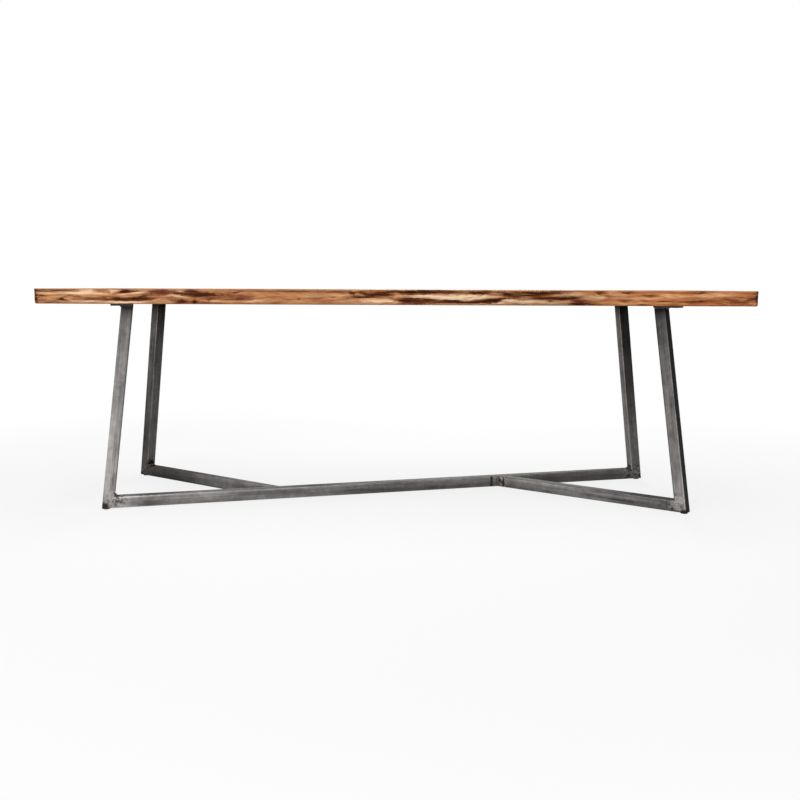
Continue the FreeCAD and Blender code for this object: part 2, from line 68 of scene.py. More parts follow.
bpy.ops.object.select_all(action="DESELECT")
bpy.ops.object.camera_add(location=CAMERA_PLACE)
camera = bpy.context.object
aim = Euler((math.pi / 2 - LOOK_DOWN, 0, -LOOK_RIGHT)).to_matrix()
camera.rotation_euler = (aim @ Matrix.Rotation(CAMERA_ROLL, 3, "Z")).to_euler()
camera.data.lens = LENS
bpy.context.scene.camera = camera
bpy.context.scene.view_settings.view_transform = "Standard"
print("camera", [round(x, 3) for x in camera.location])

# %% [markdown]
# ## Helpers for finishes
#
# A finish is a small network of nodes. Adding nodes one by one makes long scripts, so a few helpers do it:
# one adds a node with its inputs, and the others stand for the steps that come back in every finish, such
# as a stretched noise, a blend of two colours or a soft threshold.

# %% Helpers for finishes
def shade(code):
    """A colour from its usual six-digit code, in the linear form that shaders use."""
    parts = [int(code[start:start + 2], 16) / 255 for start in (0, 2, 4)]
    linear = [part / 12.92 if part <= 0.04045 else ((part + 0.055) / 1.055) ** 2.4 for part in parts]
    return (*linear, 1.0)


def add(tree, kind, inputs=None, **settings):
    """One node with its settings; each input is a plain value or another node's output."""
    made = tree.nodes.new("ShaderNode" + kind)
    for name, value in settings.items():
        setattr(made, name, value)
    for name, value in (inputs or {}).items():
        if isinstance(value, bpy.types.NodeSocket):
            tree.links.new(value, made.inputs[name])
        else:
            made.inputs[name].default_value = value
    return made


def calc(tree, operation, *values):
    """A step on plain numbers."""
    return add(tree, "Math", dict(enumerate(values)), operation=operation).outputs[0]


def times(tree, first, second):
    """The product of two numbers."""
    return calc(tree, "MULTIPLY", first, second)


def plus(tree, first, second):
    """The sum of two numbers."""
    return calc(tree, "ADD", first, second)


def scaled(tree, value, factor, start):
    """A value times a factor, counted from a start."""
    return calc(tree, "MULTIPLY_ADD", value, factor, start)


def reckon(tree, operation, *values):
    """A step on directions or places."""
    return add(tree, "VectorMath", dict(enumerate(values)), operation=operation).outputs[0]


def span(tree, first, second=(0.0, 0.0, 0.0)):
    """The distance between two places, or of one place from the origin."""
    return add(tree, "VectorMath", {0: first, 1: second}, operation="DISTANCE").outputs["Value"]


def dim(tree, colour, factor):
    """A colour made lighter or darker by a factor."""
    return add(tree, "VectorMath", {0: colour, "Scale": factor}, operation="SCALE").outputs[0]


def mix(tree, amount, first, second):
    """A blend of two colours."""
    return add(tree, "Mix", {0: amount, 6: first, 7: second}, data_type="RGBA").outputs[2]


def between(tree, value, low, high, first=0.0, last=1.0):
    """A soft step from first to last while value goes from low to high."""
    inputs = {0: value, 1: low, 2: high, 3: first, 4: last}
    return add(tree, "MapRange", inputs, interpolation_type="SMOOTHSTEP").outputs[0]


def speckle(tree, place, per_metre, detail=3.0, roughness=0.55, shift=0.0, output="Fac"):
    """Noise with its own count of blotches per metre along each axis."""
    mapped = add(tree, "Mapping", {"Vector": place, "Location": (shift,) * 3, "Scale": per_metre})
    inputs = {"Vector": mapped.outputs[0], "Scale": 1.0, "Detail": detail, "Roughness": roughness}
    return add(tree, "TexNoise", inputs).outputs[output]


def ramp(tree, value, stops):
    """Colours laid along a value from 0 to 1."""
    made = add(tree, "ValToRGB", {"Fac": value})
    while len(made.color_ramp.elements) < len(stops):
        made.color_ramp.elements.new(0.5)
    for element, (position, code) in zip(made.color_ramp.elements, stops):
        element.position = position
        element.color = shade(code)
    return made.outputs["Color"]


def start_finish(name):
    """A new material with its nodes, its shader and the place of each point on the desk."""
    material = bpy.data.materials.new(name)
    material.use_nodes = True
    tree = material.node_tree
    place = add(tree, "TexCoord").outputs["Object"]
    return material, tree, tree.nodes["Principled BSDF"], place


def end_finish(tree, shader, colour, gloss, height, depth):
    """Joins colour, roughness and fine relief to the shader. height goes from 0 to 1; depth is in metres."""
    bump = add(tree, "Bump", {"Height": height, "Distance": depth})
    tree.links.new(colour, shader.inputs["Base Color"])
    tree.links.new(gloss, shader.inputs["Roughness"])
    tree.links.new(bump.outputs[0], shader.inputs["Normal"])


def finish_node(name, material):
    """Gives a CAD piece its finish."""
    nodes[name].data.materials.clear()
    nodes[name].data.materials.append(material)


print("helpers ready")

# %% [markdown]
# ## Floor and light
#
# The desk stands on a white studio floor with no visible edge. Pouring light on a grey floor until it turns
# white would bleach the desk as well. Instead the floor and the world shine white only towards the camera,
# in reflections and through glass, while a large soft lamp at the front left, one overhead and a weak one
# behind light the desk itself. From below the floor is clear, so that the underside can be looked at too.

# %% Floor and light
FLOOR_SIZE = 60.0
FLOOR_COLOUR = "6a6a68"
SHADOW_SHARE = 0.16
SHADOW_NEAR = 1.6
SHADOW_FAR = 3.0
AMBIENT = 0.10
WHITE = (1.0, 1.0, 1.0, 1.0)
LAMPS = {
    "front_left_lamp": ((-2.6, -6.0, 1.6), (0.0, 0.0, 0.45), 2.6, 330.0),
    "overhead_lamp": ((0.0, -0.3, 3.1), (0.0, 0.0, 0.7), 2.4, 45.0),
    "rear_lamp": ((0.6, 3.9, 1.6), (0.0, 0.0, 0.4), 2.0, 95.0),
}


def seen_directly(tree):
    """1 for rays that show the background: from the camera, in a reflection or through glass."""
    path = add(tree, "LightPath")
    shown = calc(tree, "MAXIMUM", path.outputs["Is Camera Ray"], path.outputs["Is Glossy Ray"])
    return calc(tree, "MAXIMUM", shown, path.outputs["Is Transmission Ray"])


world = bpy.data.worlds.new("studio")
bpy.context.scene.world = world
world.use_nodes = True
air = world.node_tree
air.nodes.clear()
ambient = add(air, "Background", {"Color": WHITE, "Strength": AMBIENT})
backdrop = add(air, "Background", {"Color": WHITE, "Strength": 1.0})
air_look = {0: seen_directly(air), 1: ambient.outputs[0], 2: backdrop.outputs[0]}
add(air, "OutputWorld", {0: add(air, "MixShader", air_look).outputs[0]})

floor_finish, floor_tree, floor_shader, floor_place = start_finish("studio_floor")
floor_shader.inputs["Base Color"].default_value = shade(FLOOR_COLOUR)
floor_shader.inputs["Roughness"].default_value = 1.0
floor_shader.inputs["Specular IOR Level"].default_value = 0.0
glow = add(floor_tree, "Emission", {"Color": WHITE, "Strength": 1.0})
paper = add(floor_tree, "BsdfDiffuse", {"Color": WHITE})
out_from_desk = span(floor_tree, floor_place)
shadow_share = between(floor_tree, out_from_desk, SHADOW_NEAR, SHADOW_FAR, SHADOW_SHARE, 0.0)
seen = add(floor_tree, "MixShader", {0: shadow_share, 1: glow.outputs[0], 2: paper.outputs[0]})
from_above = {0: seen_directly(floor_tree), 1: floor_shader.outputs[0], 2: seen.outputs[0]}
above = add(floor_tree, "MixShader", from_above)
nothing = add(floor_tree, "BsdfTransparent")
from_below = add(floor_tree, "NewGeometry").outputs["Backfacing"]
one_sided = add(floor_tree, "MixShader", {0: from_below, 1: above.outputs[0], 2: nothing.outputs[0]})
floor_tree.links.new(one_sided.outputs[0], floor_tree.nodes["Material Output"].inputs["Surface"])

bpy.ops.object.select_all(action="DESELECT")
bpy.ops.mesh.primitive_plane_add(size=FLOOR_SIZE)
floor = bpy.context.object
floor.name = "studio_floor"
floor.data.materials.append(floor_finish)

for lamp_name, (lamp_place, target, side, power) in LAMPS.items():
    bpy.ops.object.light_add(type="AREA", location=lamp_place)
    lamp = bpy.context.object
    lamp.name = lamp_name
    lamp.data.size = side
    lamp.data.energy = power
    lamp.rotation_euler = (Vector(target) - Vector(lamp_place)).to_track_quat("-Z", "Y").to_euler()
print("floor and", len(LAMPS), "lamps")

# %% [markdown]
# ## Wood
#
# A board is cut from a log, so its face, its edge and its end show the same growth rings from three sides.
# An ordinary stripe pattern would not meet at the corners. Here the pattern is solid: it measures how far
# each point lies from the pith of the log, bends that line a little, and colours the wood by ring. On top
# come dark streaks, pores along the grain and a pale band of sapwood under the bark.

# %% Wood
RINGS_PER_METRE = 95.0
LOG_TAPER = 2.6
PITH_WANDER = (0.0, 0.16, 0.10)
RING_TREMBLE = 1.3
SAPWOOD_START = 0.37
SAPWOOD_FULL = 0.41
GRAIN_RELIEF = 0.0004


def wood_finish(name, pith, seed, bark_side=0.0):
    """Oiled hardwood. pith is the middle of the log as (y, z); bark_side is -1 or 1 at a live edge."""
    material, tree, shader, place = start_finish(name)
    along = add(tree, "SeparateXYZ", {0: place})
    wander = speckle(tree, place, (0.8, 2.2, 2.2), detail=2.0, shift=seed, output="Color")
    wander = reckon(tree, "MULTIPLY", reckon(tree, "SUBTRACT", wander, (0.5, 0.5, 0.5)), PITH_WANDER)
    around = reckon(tree, "SUBTRACT", reckon(tree, "ADD", place, wander), (0.0, *pith))
    radius = span(tree, reckon(tree, "MULTIPLY", around, (0.0, 1.0, 1.0)))
    tremble = speckle(tree, place, (2.5, 55.0, 55.0), shift=seed + 3.0)
    ring = scaled(tree, radius, RINGS_PER_METRE, times(tree, along.outputs["X"], LOG_TAPER))
    ring = plus(tree, ring, times(tree, tremble, RING_TREMBLE))
    season = calc(tree, "FRACT", ring)
    count = calc(tree, "FLOOR", ring)
    year = add(tree, "TexWhiteNoise", {"W": count}, noise_dimensions="1D").outputs["Value"]
    late = times(tree, between(tree, season, 0.15, 0.9), between(tree, season, 0.9, 1.0, 1.0, 0.0))
    late = times(tree, late, scaled(tree, year, 0.75, 0.25))
    broad = speckle(tree, place, (1.1, 8.0, 8.0), detail=4.0, shift=seed + 7.0)
    body = ramp(tree, broad, [(0.25, "8d5736"), (0.45, "af774d"), (0.6, "c48c60"), (0.78, "a86640")])
    colour = mix(tree, times(tree, late, 0.75), body, shade("5f351b"))
    streak = speckle(tree, place, (0.9, 42.0, 42.0), detail=4.0, shift=seed + 11.0)
    colour = mix(tree, between(tree, streak, 0.58, 0.78, 0.0, 0.6), colour, shade("3f2210"))
    if bark_side:
        from_middle = times(tree, along.outputs["Y"], bark_side)
        from_middle = plus(tree, from_middle, times(tree, broad, 0.03))
        sap = between(tree, from_middle, SAPWOOD_START, SAPWOOD_FULL, 0.0, 0.55)
        colour = mix(tree, sap, colour, shade("d8ad74"))
    pores = speckle(tree, place, (45.0, 900.0, 900.0), detail=1.0, shift=seed)
    pore = between(tree, pores, 0.6, 0.72)
    colour = mix(tree, times(tree, pore, 0.45), colour, shade("4a2a14"))
    fine = speckle(tree, place, (12.0, 320.0, 320.0), detail=2.0, shift=seed + 2.0)
    colour = mix(tree, between(tree, fine, 0.35, 0.75, 0.0, 0.22), colour, shade("e0b080"))
    height = calc(tree, "SUBTRACT", times(tree, late, 0.35), pore)
    if bark_side:
        colour, height = live_edge_layers(tree, place, seed, colour, height)
    shader.inputs["Specular IOR Level"].default_value = 0.05
    end_finish(tree, shader, colour, scaled(tree, fine, 0.16, 0.54), height, GRAIN_RELIEF)
    return material


print("wood finish ready")

# %% [markdown]
# ## Skin of the live edge
#
# Where the bark came off, the wood was not cut but grown: smooth, rippled and stained. A pattern from noise
# alone would not fit the furrows. So each point of a board's edge carries its own numbers, such as how deep
# it lies in a furrow, and the colours are mixed from those numbers and from noise.

# %% Skin of the live edge
def mark(tree, name):
    """A number stored on the points of the piece itself."""
    return add(tree, "Attribute", attribute_name=name).outputs["Fac"]


def live_edge_layers(tree, place, seed, colour, height):
    """Under the bark: a painted highlight on the crests, brown and maroon in the stains,
    and dark in the furrows, from bark left behind and from painted shade.
    """
    sway = speckle(tree, place, (7.0, 9.0, 30.0), shift=seed + 5.0, output="Color")
    twist = reckon(tree, "ADD", place, reckon(tree, "MULTIPLY", sway, (0.05, 0.0, 0.03)))
    ripple = speckle(tree, twist, (6.0, 20.0, 75.0), detail=4.0, shift=seed)
    fibre = speckle(tree, twist, (20.0, 40.0, 330.0), shift=seed + 6.0)
    streak = speckle(tree, twist, (13.0, 20.0, 150.0), detail=4.0, roughness=0.6, shift=seed + 13.0)
    tan = ramp(tree, ripple, [(0.32, "8a5a3b"), (0.43, "b07a53"), (0.54, "c99568"), (0.66, "b47953")])
    red = ramp(tree, ripple, [(0.32, "90522c"), (0.46, "b86f43"), (0.56, "d08a57"), (0.68, "ac6539")])
    skin = mix(tree, mark(tree, "redness"), tan, red)
    skin = mix(tree, between(tree, fibre, 0.50, 0.72, 0.0, 0.5), skin, shade("e2b484"))
    skin = mix(tree, between(tree, fibre, 0.46, 0.28, 0.0, 0.6), skin, shade("7e4b2d"))
    ragged = between(tree, fibre, 0.3, 0.68, 1.2, 0.75)
    ragged = times(tree, ragged, between(tree, streak, 0.34, 0.66, 1.25, 0.6))
    brown = times(tree, mark(tree, "stain"), ragged)
    skin = mix(tree, between(tree, brown, 0.0, 0.95, 0.0, 0.92), skin, shade("6a3b1f"))
    wine = times(tree, mark(tree, "maroon"), ragged)
    skin = mix(tree, between(tree, wine, 0.0, 0.85, 0.0, 0.95), skin, shade("662a1e"))
    # Painted highlight on the crests, in cream.
    pale = times(tree, mark(tree, "crest_highlight"), between(tree, streak, 0.36, 0.6, 0.45, 1.15))
    pale = times(tree, pale, between(tree, fibre, 0.3, 0.6, 0.75, 1.1))
    cream = mix(tree, mark(tree, "redness"), shade("fee0bc"), shade("f8c698"))
    skin = mix(tree, between(tree, pale, 0.0, 0.85, 0.0, 0.97), skin, cream)
    # The furrows darken with bark left behind and with painted shade in the hollows.
    depth = times(tree, mark(tree, "furrow"), ragged)
    skin = mix(tree, between(tree, depth, 0.05, 0.65, 0.0, 0.9), skin, shade("5a2b12"))
    skin = mix(tree, between(tree, depth, 0.45, 1.0, 0.0, 0.95), skin, shade("2e1307"))
    skin = dim(tree, skin, mark(tree, "light"))
    edge = mark(tree, "edge")
    relief = scaled(tree, ripple, 2.0, fibre)
    height = add(tree, "Mix", {0: edge, 2: height, 3: relief}).outputs[0]
    return mix(tree, edge, colour, skin), height


print("live-edge skin ready")

# %% [markdown]
# ## Bands of the front edge
#
# Under its bark a tree is rippled: long crests, and furrows where dark bark stays behind. The crests get a
# painted highlight, and the dark in the furrows is partly painted shade. The front edge is what one sees of
# this desk, so its main furrows, brown and maroon stains and pale crests were read off and are listed from
# left to right as bands. A band is a row of stations: place along the edge from its middle, height above the
# underside, half width, all in millimetres, and strength.
# Redness and lightness change slowly along the edge, so they are listed at a few places, in metres from the
# middle.

# %% Bands of the front edge
FRONT_FURROWS_AND_END_SHADE = [
    # The first band is painted shade on the rounded left end corner, not a furrow.
    [(-1198, 46, 10, 0.74), (-1197, 4, 10, 0.74)],
    [(-1192, 43, 3.9, 0.5), (-1126, 43, 3.9, 0.5), (-1103, 44, 3, 0.35), (-1043, 44, 2.3, 0.2)],
    [(-1185, 23, 3.8, 0.3), (-1172, 26, 4.1, 0.5), (-1159, 25, 3, 0.2)],
    [(-1136, 13, 1.8, 0.15), (-1116, 14, 2.6, 0.4), (-1106, 15, 4.9, 0.8), (-1073, 5, 1.8, 0.15)],
    [(-1106, 16, 3, 0.5), (-1093, 24, 3, 0.4), (-1076, 26, 3.3, 0.4), (-991, 14, 3, 0.5),
     (-954, 15, 3.9, 0.75), (-941, 15, 3, 0.6), (-918, 15, 5.3, 1), (-835, 17, 5.3, 1),
     (-822, 19, 6.2, 0.9), (-809, 18, 5.3, 0.85), (-773, 19, 1.8, 0.1)],
    [(-921, 34, 1.8, 0.2), (-898, 41, 4.5, 0.95), (-885, 41, 4.5, 0.95), (-829, 44, 1.8, 0.1)],
    [(-852, 19, 3, 0.5), (-829, 26, 4.9, 0.7), (-816, 29, 3.8, 0.5), (-753, 31, 2.3, 0.15)],
    [(-736, 36, 2.3, 0.3), (-720, 36, 3.9, 0.7), (-700, 34, 4.9, 0.82), (-687, 33, 5.3, 0.85),
     (-660, 34, 9.7, 0.82), (-594, 30, 5.3, 0.7), (-584, 30, 3.8, 0.4), (-548, 27, 3.3, 0.2)],
    [(-690, 42, 3, 0.4), (-667, 43, 5.3, 0.75), (-644, 36, 5.3, 0.8)],
    [(-674, 26, 2.6, 0.4), (-647, 26, 3.3, 0.55), (-598, 23, 2.3, 0.2)],
    [(-634, 18, 2.3, 0.3), (-611, 17, 4.5, 0.85), (-571, 22, 2.3, 0.3)],
    [(-730, 7, 2.6, 0.3), (-717, 8, 3.8, 0.7), (-700, 8, 5.3, 0.85), (-677, 8, 1.8, 0.3),
     (-660, 7, 5.3, 0.9), (-650, 7, 2.6, 0.45), (-601, 4, 1.5, 0.15)],
    [(-568, 34, 3.3, 0.4), (-528, 38, 3.3, 0.6), (-492, 45, 2.3, 0.2)],
    [(-333, 18, 1.8, 0.2), (-314, 19, 3.3, 0.6), (-304, 19, 2.3, 0.25)],
    [(-399, 44, 1.8, 0.15), (-257, 44, 3, 0.45), (-172, 44, 2.3, 0.25)],
    [(-218, 26, 1.8, 0.2), (-198, 24, 2.6, 0.45), (-185, 24, 1.5, 0.1)],
    [(-152, 42, 2.3, 0.3), (-142, 39, 4.5, 0.72), (-132, 37, 4.5, 0.76), (-122, 40, 3, 0.45),
     (-109, 40, 4.5, 0.7), (-76, 34, 5.8, 0.7), (-53, 35, 6.2, 0.78), (-33, 39, 3.8, 0.6), (3, 45, 3.9, 0.75),
     (23, 41, 6.4, 0.9), (132, 44, 5.8, 1), (241, 44, 3, 0.45), (268, 41, 5.3, 0.95), (297, 41, 5.6, 1),
     (314, 42, 4.5, 0.95), (327, 43, 2.6, 0.5), (363, 40, 4.5, 0.7), (383, 32, 8.4, 0.84),
     (413, 33, 9.7, 0.82), (462, 38, 6.4, 0.78), (542, 43, 3.9, 0.7), (608, 44, 1.5, 0.1)],
    [(-165, 22, 2.3, 0.2), (-112, 24, 4.5, 0.62), (-86, 26, 3.3, 0.5), (-33, 28, 5.3, 0.5),
     (-16, 27, 4.9, 0.45), (3, 18, 3.3, 0.7), (30, 16, 5.8, 0.9), (53, 16, 7, 1), (103, 15, 6.6, 1),
     (136, 16, 4.4, 0.75), (149, 15, 4, 0.6), (211, 11, 4.5, 0.95), (241, 9, 3, 0.7), (337, 15, 6.2, 1),
     (370, 24, 3.3, 0.6)],
    [(-62, 37, 5, 0.6), (-40, 35, 6, 0.82), (-20, 32, 6, 0.8), (3, 31, 4.3, 0.5)],
    [(27, 9, 3, 0.4), (43, 8, 3.8, 0.6), (172, 8, 2.6, 0.25)],
    [(449, 24, 2.3, 0.3), (469, 24, 3.3, 0.65), (522, 25, 3.8, 0.64), (548, 22, 7.6, 0.8),
     (588, 24, 4.9, 0.8), (614, 27, 2.3, 0.3)],
    [(499, 16, 1.8, 0.2), (515, 15, 3, 0.6), (532, 15, 1.8, 0.3)],
    [(575, 5, 1.8, 0.4), (591, 6, 3.9, 0.8), (621, 6, 4.5, 0.95), (694, 4, 1.5, 0.2)],
    [(657, 43, 2.3, 0.3), (671, 42, 3.9, 0.65), (687, 43, 4.5, 0.7), (707, 40, 1.8, 0.3)],
    [(674, 39, 3, 0.5), (694, 34, 1.8, 0.1)],
    [(750, 44, 2.3, 0.4), (770, 43, 4.5, 0.7), (809, 43, 1.8, 0.2)],
    [(819, 33, 2.3, 0.3), (846, 33, 4.9, 0.6), (859, 33, 4.9, 0.6), (882, 35, 1.8, 0.15)],
    [(737, 15, 3, 0.3), (756, 16, 3.3, 0.65), (786, 16, 2.3, 0.3), (826, 16, 2.6, 0.4),
     (846, 16, 1.8, 0.15)],
    [(799, 3, 1.8, 0.3), (816, 3, 2.6, 0.6), (859, 3, 1.5, 0.1)],
    [(862, 17, 2.3, 0.3), (879, 16, 3, 0.5), (918, 17, 2.3, 0.2)],
    [(997, 42, 1.8, 0.3), (1011, 43, 2.6, 0.5), (1024, 43, 1.5, 0.2)],
    [(1001, 15, 3, 0.4), (1011, 15, 3.3, 0.55), (1024, 16, 2.6, 0.3)],
    [(1140, 13, 4.1, 0.25), (1160, 15, 5.3, 0.4), (1189, 23, 6.9, 0.5)],
    # The last band is painted shade on the rounded right end corner, not a furrow.
    [(1197, 44, 6, 0.45), (1197, 34, 8, 0.7), (1196, 21, 9, 0.85), (1196, 11, 7, 0.55), (1196, 3, 7, 0.65)],
]
FRONT_STAINS = [
    [(-1185, 25, 5.2, 0.7), (-1172, 25, 5.9, 0.75), (-1146, 20, 2.9, 0.4), (-1110, 17, 3.3, 0.5)],
    [(-1189, 43, 3.9, 0.7), (-1063, 44, 3.3, 0.6), (-1037, 43, 2.6, 0.3)],
    [(-1103, 21, 2.9, 0.5), (-1070, 26, 4.3, 0.65), (-1030, 17, 3.9, 0.7), (-1004, 15, 3.9, 0.75),
     (-925, 18, 5.2, 0.8)],
    [(-1001, 44, 2.6, 0.3), (-981, 44, 2.9, 0.55), (-954, 44, 2.9, 0.5), (-941, 44, 2.3, 0.2)],
    [(-934, 23, 2.6, 0.4), (-875, 20, 2.6, 0.4)],
    [(-931, 33, 2.6, 0.4), (-905, 37, 3.3, 0.6)],
    [(-918, 10, 2.6, 0.4), (-802, 13, 2.6, 0.4)],
    [(-779, 24, 2, 0.25), (-736, 23, 2.9, 0.55), (-720, 22, 2.3, 0.3)],
    [(-786, 12, 2.6, 0.35), (-753, 15, 4.3, 0.5), (-713, 11, 3.3, 0.6)],
    [(-812, 4, 1.6, 0.2), (-680, 3, 2, 0.45), (-475, 3, 1.6, 0.35)],
    [(-575, 15, 3.3, 0.45), (-502, 16, 2.9, 0.6), (-456, 19, 1.6, 0.2)],
    [(-594, 40, 4.6, 0.35), (-568, 35, 3.9, 0.55), (-495, 43, 3.3, 0.35), (-462, 43, 2.6, 0.2)],
    [(-409, 43, 2.6, 0.3), (-304, 42, 3.3, 0.6), (-158, 42, 2.9, 0.5)],
    [(-307, 20, 2.6, 0.3), (-257, 19, 2.9, 0.45), (-238, 19, 2, 0.2)],
    [(-165, 18, 2.6, 0.3), (-115, 23, 3.9, 0.6), (-99, 31, 2.3, 0.3)],
    [(-79, 30, 6.2, 0.5), (-26, 30, 6.5, 0.55), (10, 33, 3.3, 0.4)],
    [(20, 10, 4.6, 0.7), (79, 8, 4.6, 0.75), (145, 11, 4.6, 0.75), (198, 8, 2.6, 0.5)],
    [(172, 40, 2.9, 0.5), (225, 39, 4.3, 0.7), (251, 38, 3.6, 0.65)],
    [(317, 37, 3.6, 0.6), (354, 35, 3.9, 0.7), (367, 31, 3.9, 0.8)],
    [(403, 30, 6.5, 0.7), (482, 33, 6.2, 0.85), (535, 38, 3.3, 0.5)],
    [(443, 23, 3.3, 0.5), (568, 21, 4.9, 0.75)],
    [(634, 12, 3.3, 0.5), (667, 10, 3.9, 0.65), (684, 10, 2.6, 0.3)],
    [(687, 20, 2.6, 0.25), (760, 16, 3.6, 0.6), (832, 16, 2.6, 0.45)],
    [(753, 45, 2.6, 0.5), (839, 44, 1.6, 0.3), (1011, 43, 2.3, 0.5), (1044, 44, 1.6, 0.3)],
    [(813, 39, 2.6, 0.3), (852, 31, 3.9, 0.5), (872, 33, 3.3, 0.4)],
    [(852, 17, 2.3, 0.3), (879, 16, 3.3, 0.55), (938, 17, 3.9, 0.5), (988, 15, 5.9, 0.7),
     (1070, 18, 3.3, 0.3)],
    [(1070, 29, 2, 0.25), (1116, 32, 2.9, 0.55), (1139, 30, 3.3, 0.6), (1159, 29, 2.9, 0.4)],
    [(1017, 24, 2.6, 0.2), (1130, 20, 4.6, 0.45)],
    [(1031, 2, 1.6, 0.3), (1090, 2, 1.6, 0.3)],
]
FRONT_MAROONS = [
    [(-816, 39, 3.3, 0.3), (-802, 39, 5.2, 0.8), (-759, 39, 6.2, 1), (-700, 41, 2.3, 0.3)],
    [(-693, 42, 3.9, 0.6), (-677, 42, 4.9, 0.9), (-627, 28, 4.6, 0.5), (-601, 27, 4.6, 0.6),
     (-588, 28, 3.3, 0.5)],
    [(-733, 8, 3.6, 0.5), (-710, 8, 4.9, 0.85), (-647, 7, 2.6, 0.35)],
    [(-637, 17, 3.6, 0.5), (-614, 17, 4.3, 0.7), (-568, 21, 2.9, 0.4)],
    [(-581, 27, 4.3, 0.55), (-505, 25, 5.6, 0.7), (-482, 25, 5.2, 0.7), (-439, 27, 2.9, 0.2)],
    [(-224, 41, 2.9, 0.3), (-152, 40, 3.3, 0.5)],
    [(27, 17, 5.2, 0.5), (53, 17, 5.9, 0.8), (86, 14, 5.9, 0.8), (119, 16, 4.9, 0.6)],
    [(132, 11, 3.9, 0.5), (188, 14, 3.6, 0.6)],
    [(588, 17, 4.9, 0.7), (601, 16, 6.9, 1), (614, 16, 6.9, 1), (654, 12, 2.6, 0.2)],
    [(912, 7, 3.3, 0.25), (971, 11, 4.9, 0.55), (1024, 12, 3.3, 0.3)],
    [(1097, 11, 3.9, 0.4), (1149, 12, 4.9, 0.7), (1192, 26, 6.2, 0.8)],
    [(1130, 3, 2.3, 0.4), (1176, 6, 3.3, 0.4)],
    [(1149, 26, 3.9, 0.3), (1169, 26, 4.9, 0.5), (1186, 32, 4.9, 0.5)],
]
FRONT_CREST_HIGHLIGHTS = [
    [(-1182, 34, 2.9, 0.3), (-1133, 32, 3.3, 0.35), (-1110, 36, 3.6, 0.5), (-1060, 34, 4.3, 0.7),
     (-1004, 38, 5.2, 0.95), (-938, 31, 2.6, 0.2)],
    [(-1043, 46, 2, 0.4), (-1001, 43, 3.3, 0.6)],
    [(-944, 45, 2, 0.3), (-934, 41, 4.3, 0.6), (-911, 46, 1.6, 0.3)],
    [(-1037, 29, 2.6, 0.3), (-991, 26, 2.6, 0.3)],
    [(-1096, 18, 2.6, 0.35), (-1067, 9, 3.3, 0.5), (-971, 6, 2.6, 0.5), (-895, 6, 3.3, 0.85),
     (-759, 5, 2, 0.2)],
    [(-918, 30, 2.3, 0.3), (-855, 36, 3.9, 0.65), (-816, 41, 2.9, 0.3)],
    [(-773, 25, 2, 0.2), (-736, 30, 3.3, 0.56), (-690, 26, 3.3, 0.62), (-664, 22, 1.6, 0.15)],
    [(-720, 44, 2, 0.3), (-707, 43, 3.3, 0.6), (-697, 42, 2.6, 0.4), (-687, 46, 1.6, 0.2)],
    [(-647, 14, 2, 0.2), (-601, 10, 2.9, 0.5), (-548, 11, 2, 0.2)],
    [(-528, 10, 2.3, 0.3), (-475, 11, 2.9, 0.6), (-429, 13, 2.9, 0.35), (-409, 12, 1.6, 0.1)],
    [(-317, 26, 2, 0.2), (-248, 28, 2.9, 0.45), (-168, 32, 2.6, 0.25)],
    [(-191, 16, 2.6, 0.25), (-145, 12, 3.9, 0.45), (-66, 13, 4.9, 0.56), (-26, 14, 4.3, 0.56),
     (7, 8, 2.6, 0.4)],
    [(-139, 33, 2, 0.4), (-106, 31, 2.6, 0.5), (-86, 30, 2, 0.3)],
    [(7, 30, 2, 0.15), (33, 28, 2.6, 0.45), (86, 29, 4.1, 0.85), (231, 24, 6.8, 1), (301, 28, 4.6, 0.95),
     (327, 26, 3.3, 0.7), (360, 30, 2, 0.2)],
    [(139, 21, 2.6, 0.5), (238, 17, 3.3, 0.7), (261, 20, 2.6, 0.4)],
    [(264, 5, 1.6, 0.4), (354, 7, 2.3, 0.5), (367, 10, 2.6, 0.4)],
    [(360, 17, 3.3, 0.65), (423, 13, 4.9, 0.75), (479, 13, 3.9, 0.65), (515, 9, 3.6, 0.55),
     (591, 12, 1.6, 0.1)],
    [(525, 32, 2.3, 0.25), (608, 37, 3.6, 0.5), (634, 36, 2.9, 0.3)],
    [(614, 25, 2.6, 0.35), (647, 29, 3.6, 0.75), (664, 28, 3.6, 0.6), (687, 28, 4.3, 0.8),
     (710, 23, 2.3, 0.2)],
    [(661, 39, 2, 0.3), (671, 35, 2.6, 0.55), (677, 32, 2.3, 0.4)],
    [(700, 37, 2.9, 0.45), (717, 37, 3.6, 0.65), (760, 35, 3.3, 0.3)],
    [(713, 25, 2.6, 0.3), (829, 23, 3.3, 0.6), (885, 27, 2.9, 0.35)],
    [(737, 7, 2, 0.3), (753, 6, 2.9, 0.6), (770, 6, 2.3, 0.3)],
    [(869, 37, 2.3, 0.25), (905, 32, 4.6, 0.7), (978, 32, 3.3, 0.35), (1011, 33, 3.9, 0.7),
     (1054, 37, 4.3, 0.6), (1100, 35, 3.6, 0.55), (1149, 36, 2.3, 0.15)],
]
FRONT_REDNESS = [
    (-1.2, 0.35), (-1.0, 0.35), (-0.75, 0.4), (-0.55, 0.7), (-0.25, 0.5), (-0.05, 0.15), (0.1, 0.1),
    (0.5, 0.25), (0.65, 0.7), (0.9, 1.0), (1.2, 1.0),
]
FRONT_LIGHT = [
    (-1.2, 0.95), (-0.9, 0.99), (-0.7, 0.94), (-0.5, 0.90), (-0.25, 0.96), (-0.1, 1.11), (0.1, 1.03),
    (0.4, 0.97), (0.5, 0.90), (0.65, 0.99), (0.85, 1.17), (1.2, 1.20),
]
print(len(FRONT_FURROWS_AND_END_SHADE), "furrows and", len(FRONT_CREST_HIGHLIGHTS), "crests listed for the front edge")

# %% [markdown]
# ## Bands of the rear edge
#
# The photo does not show the rear edge, so its bands are drawn by chance, with a fixed seed so that every
# run draws the same ones. Faint furrows drawn in the same way fill the front edge between the listed ones.

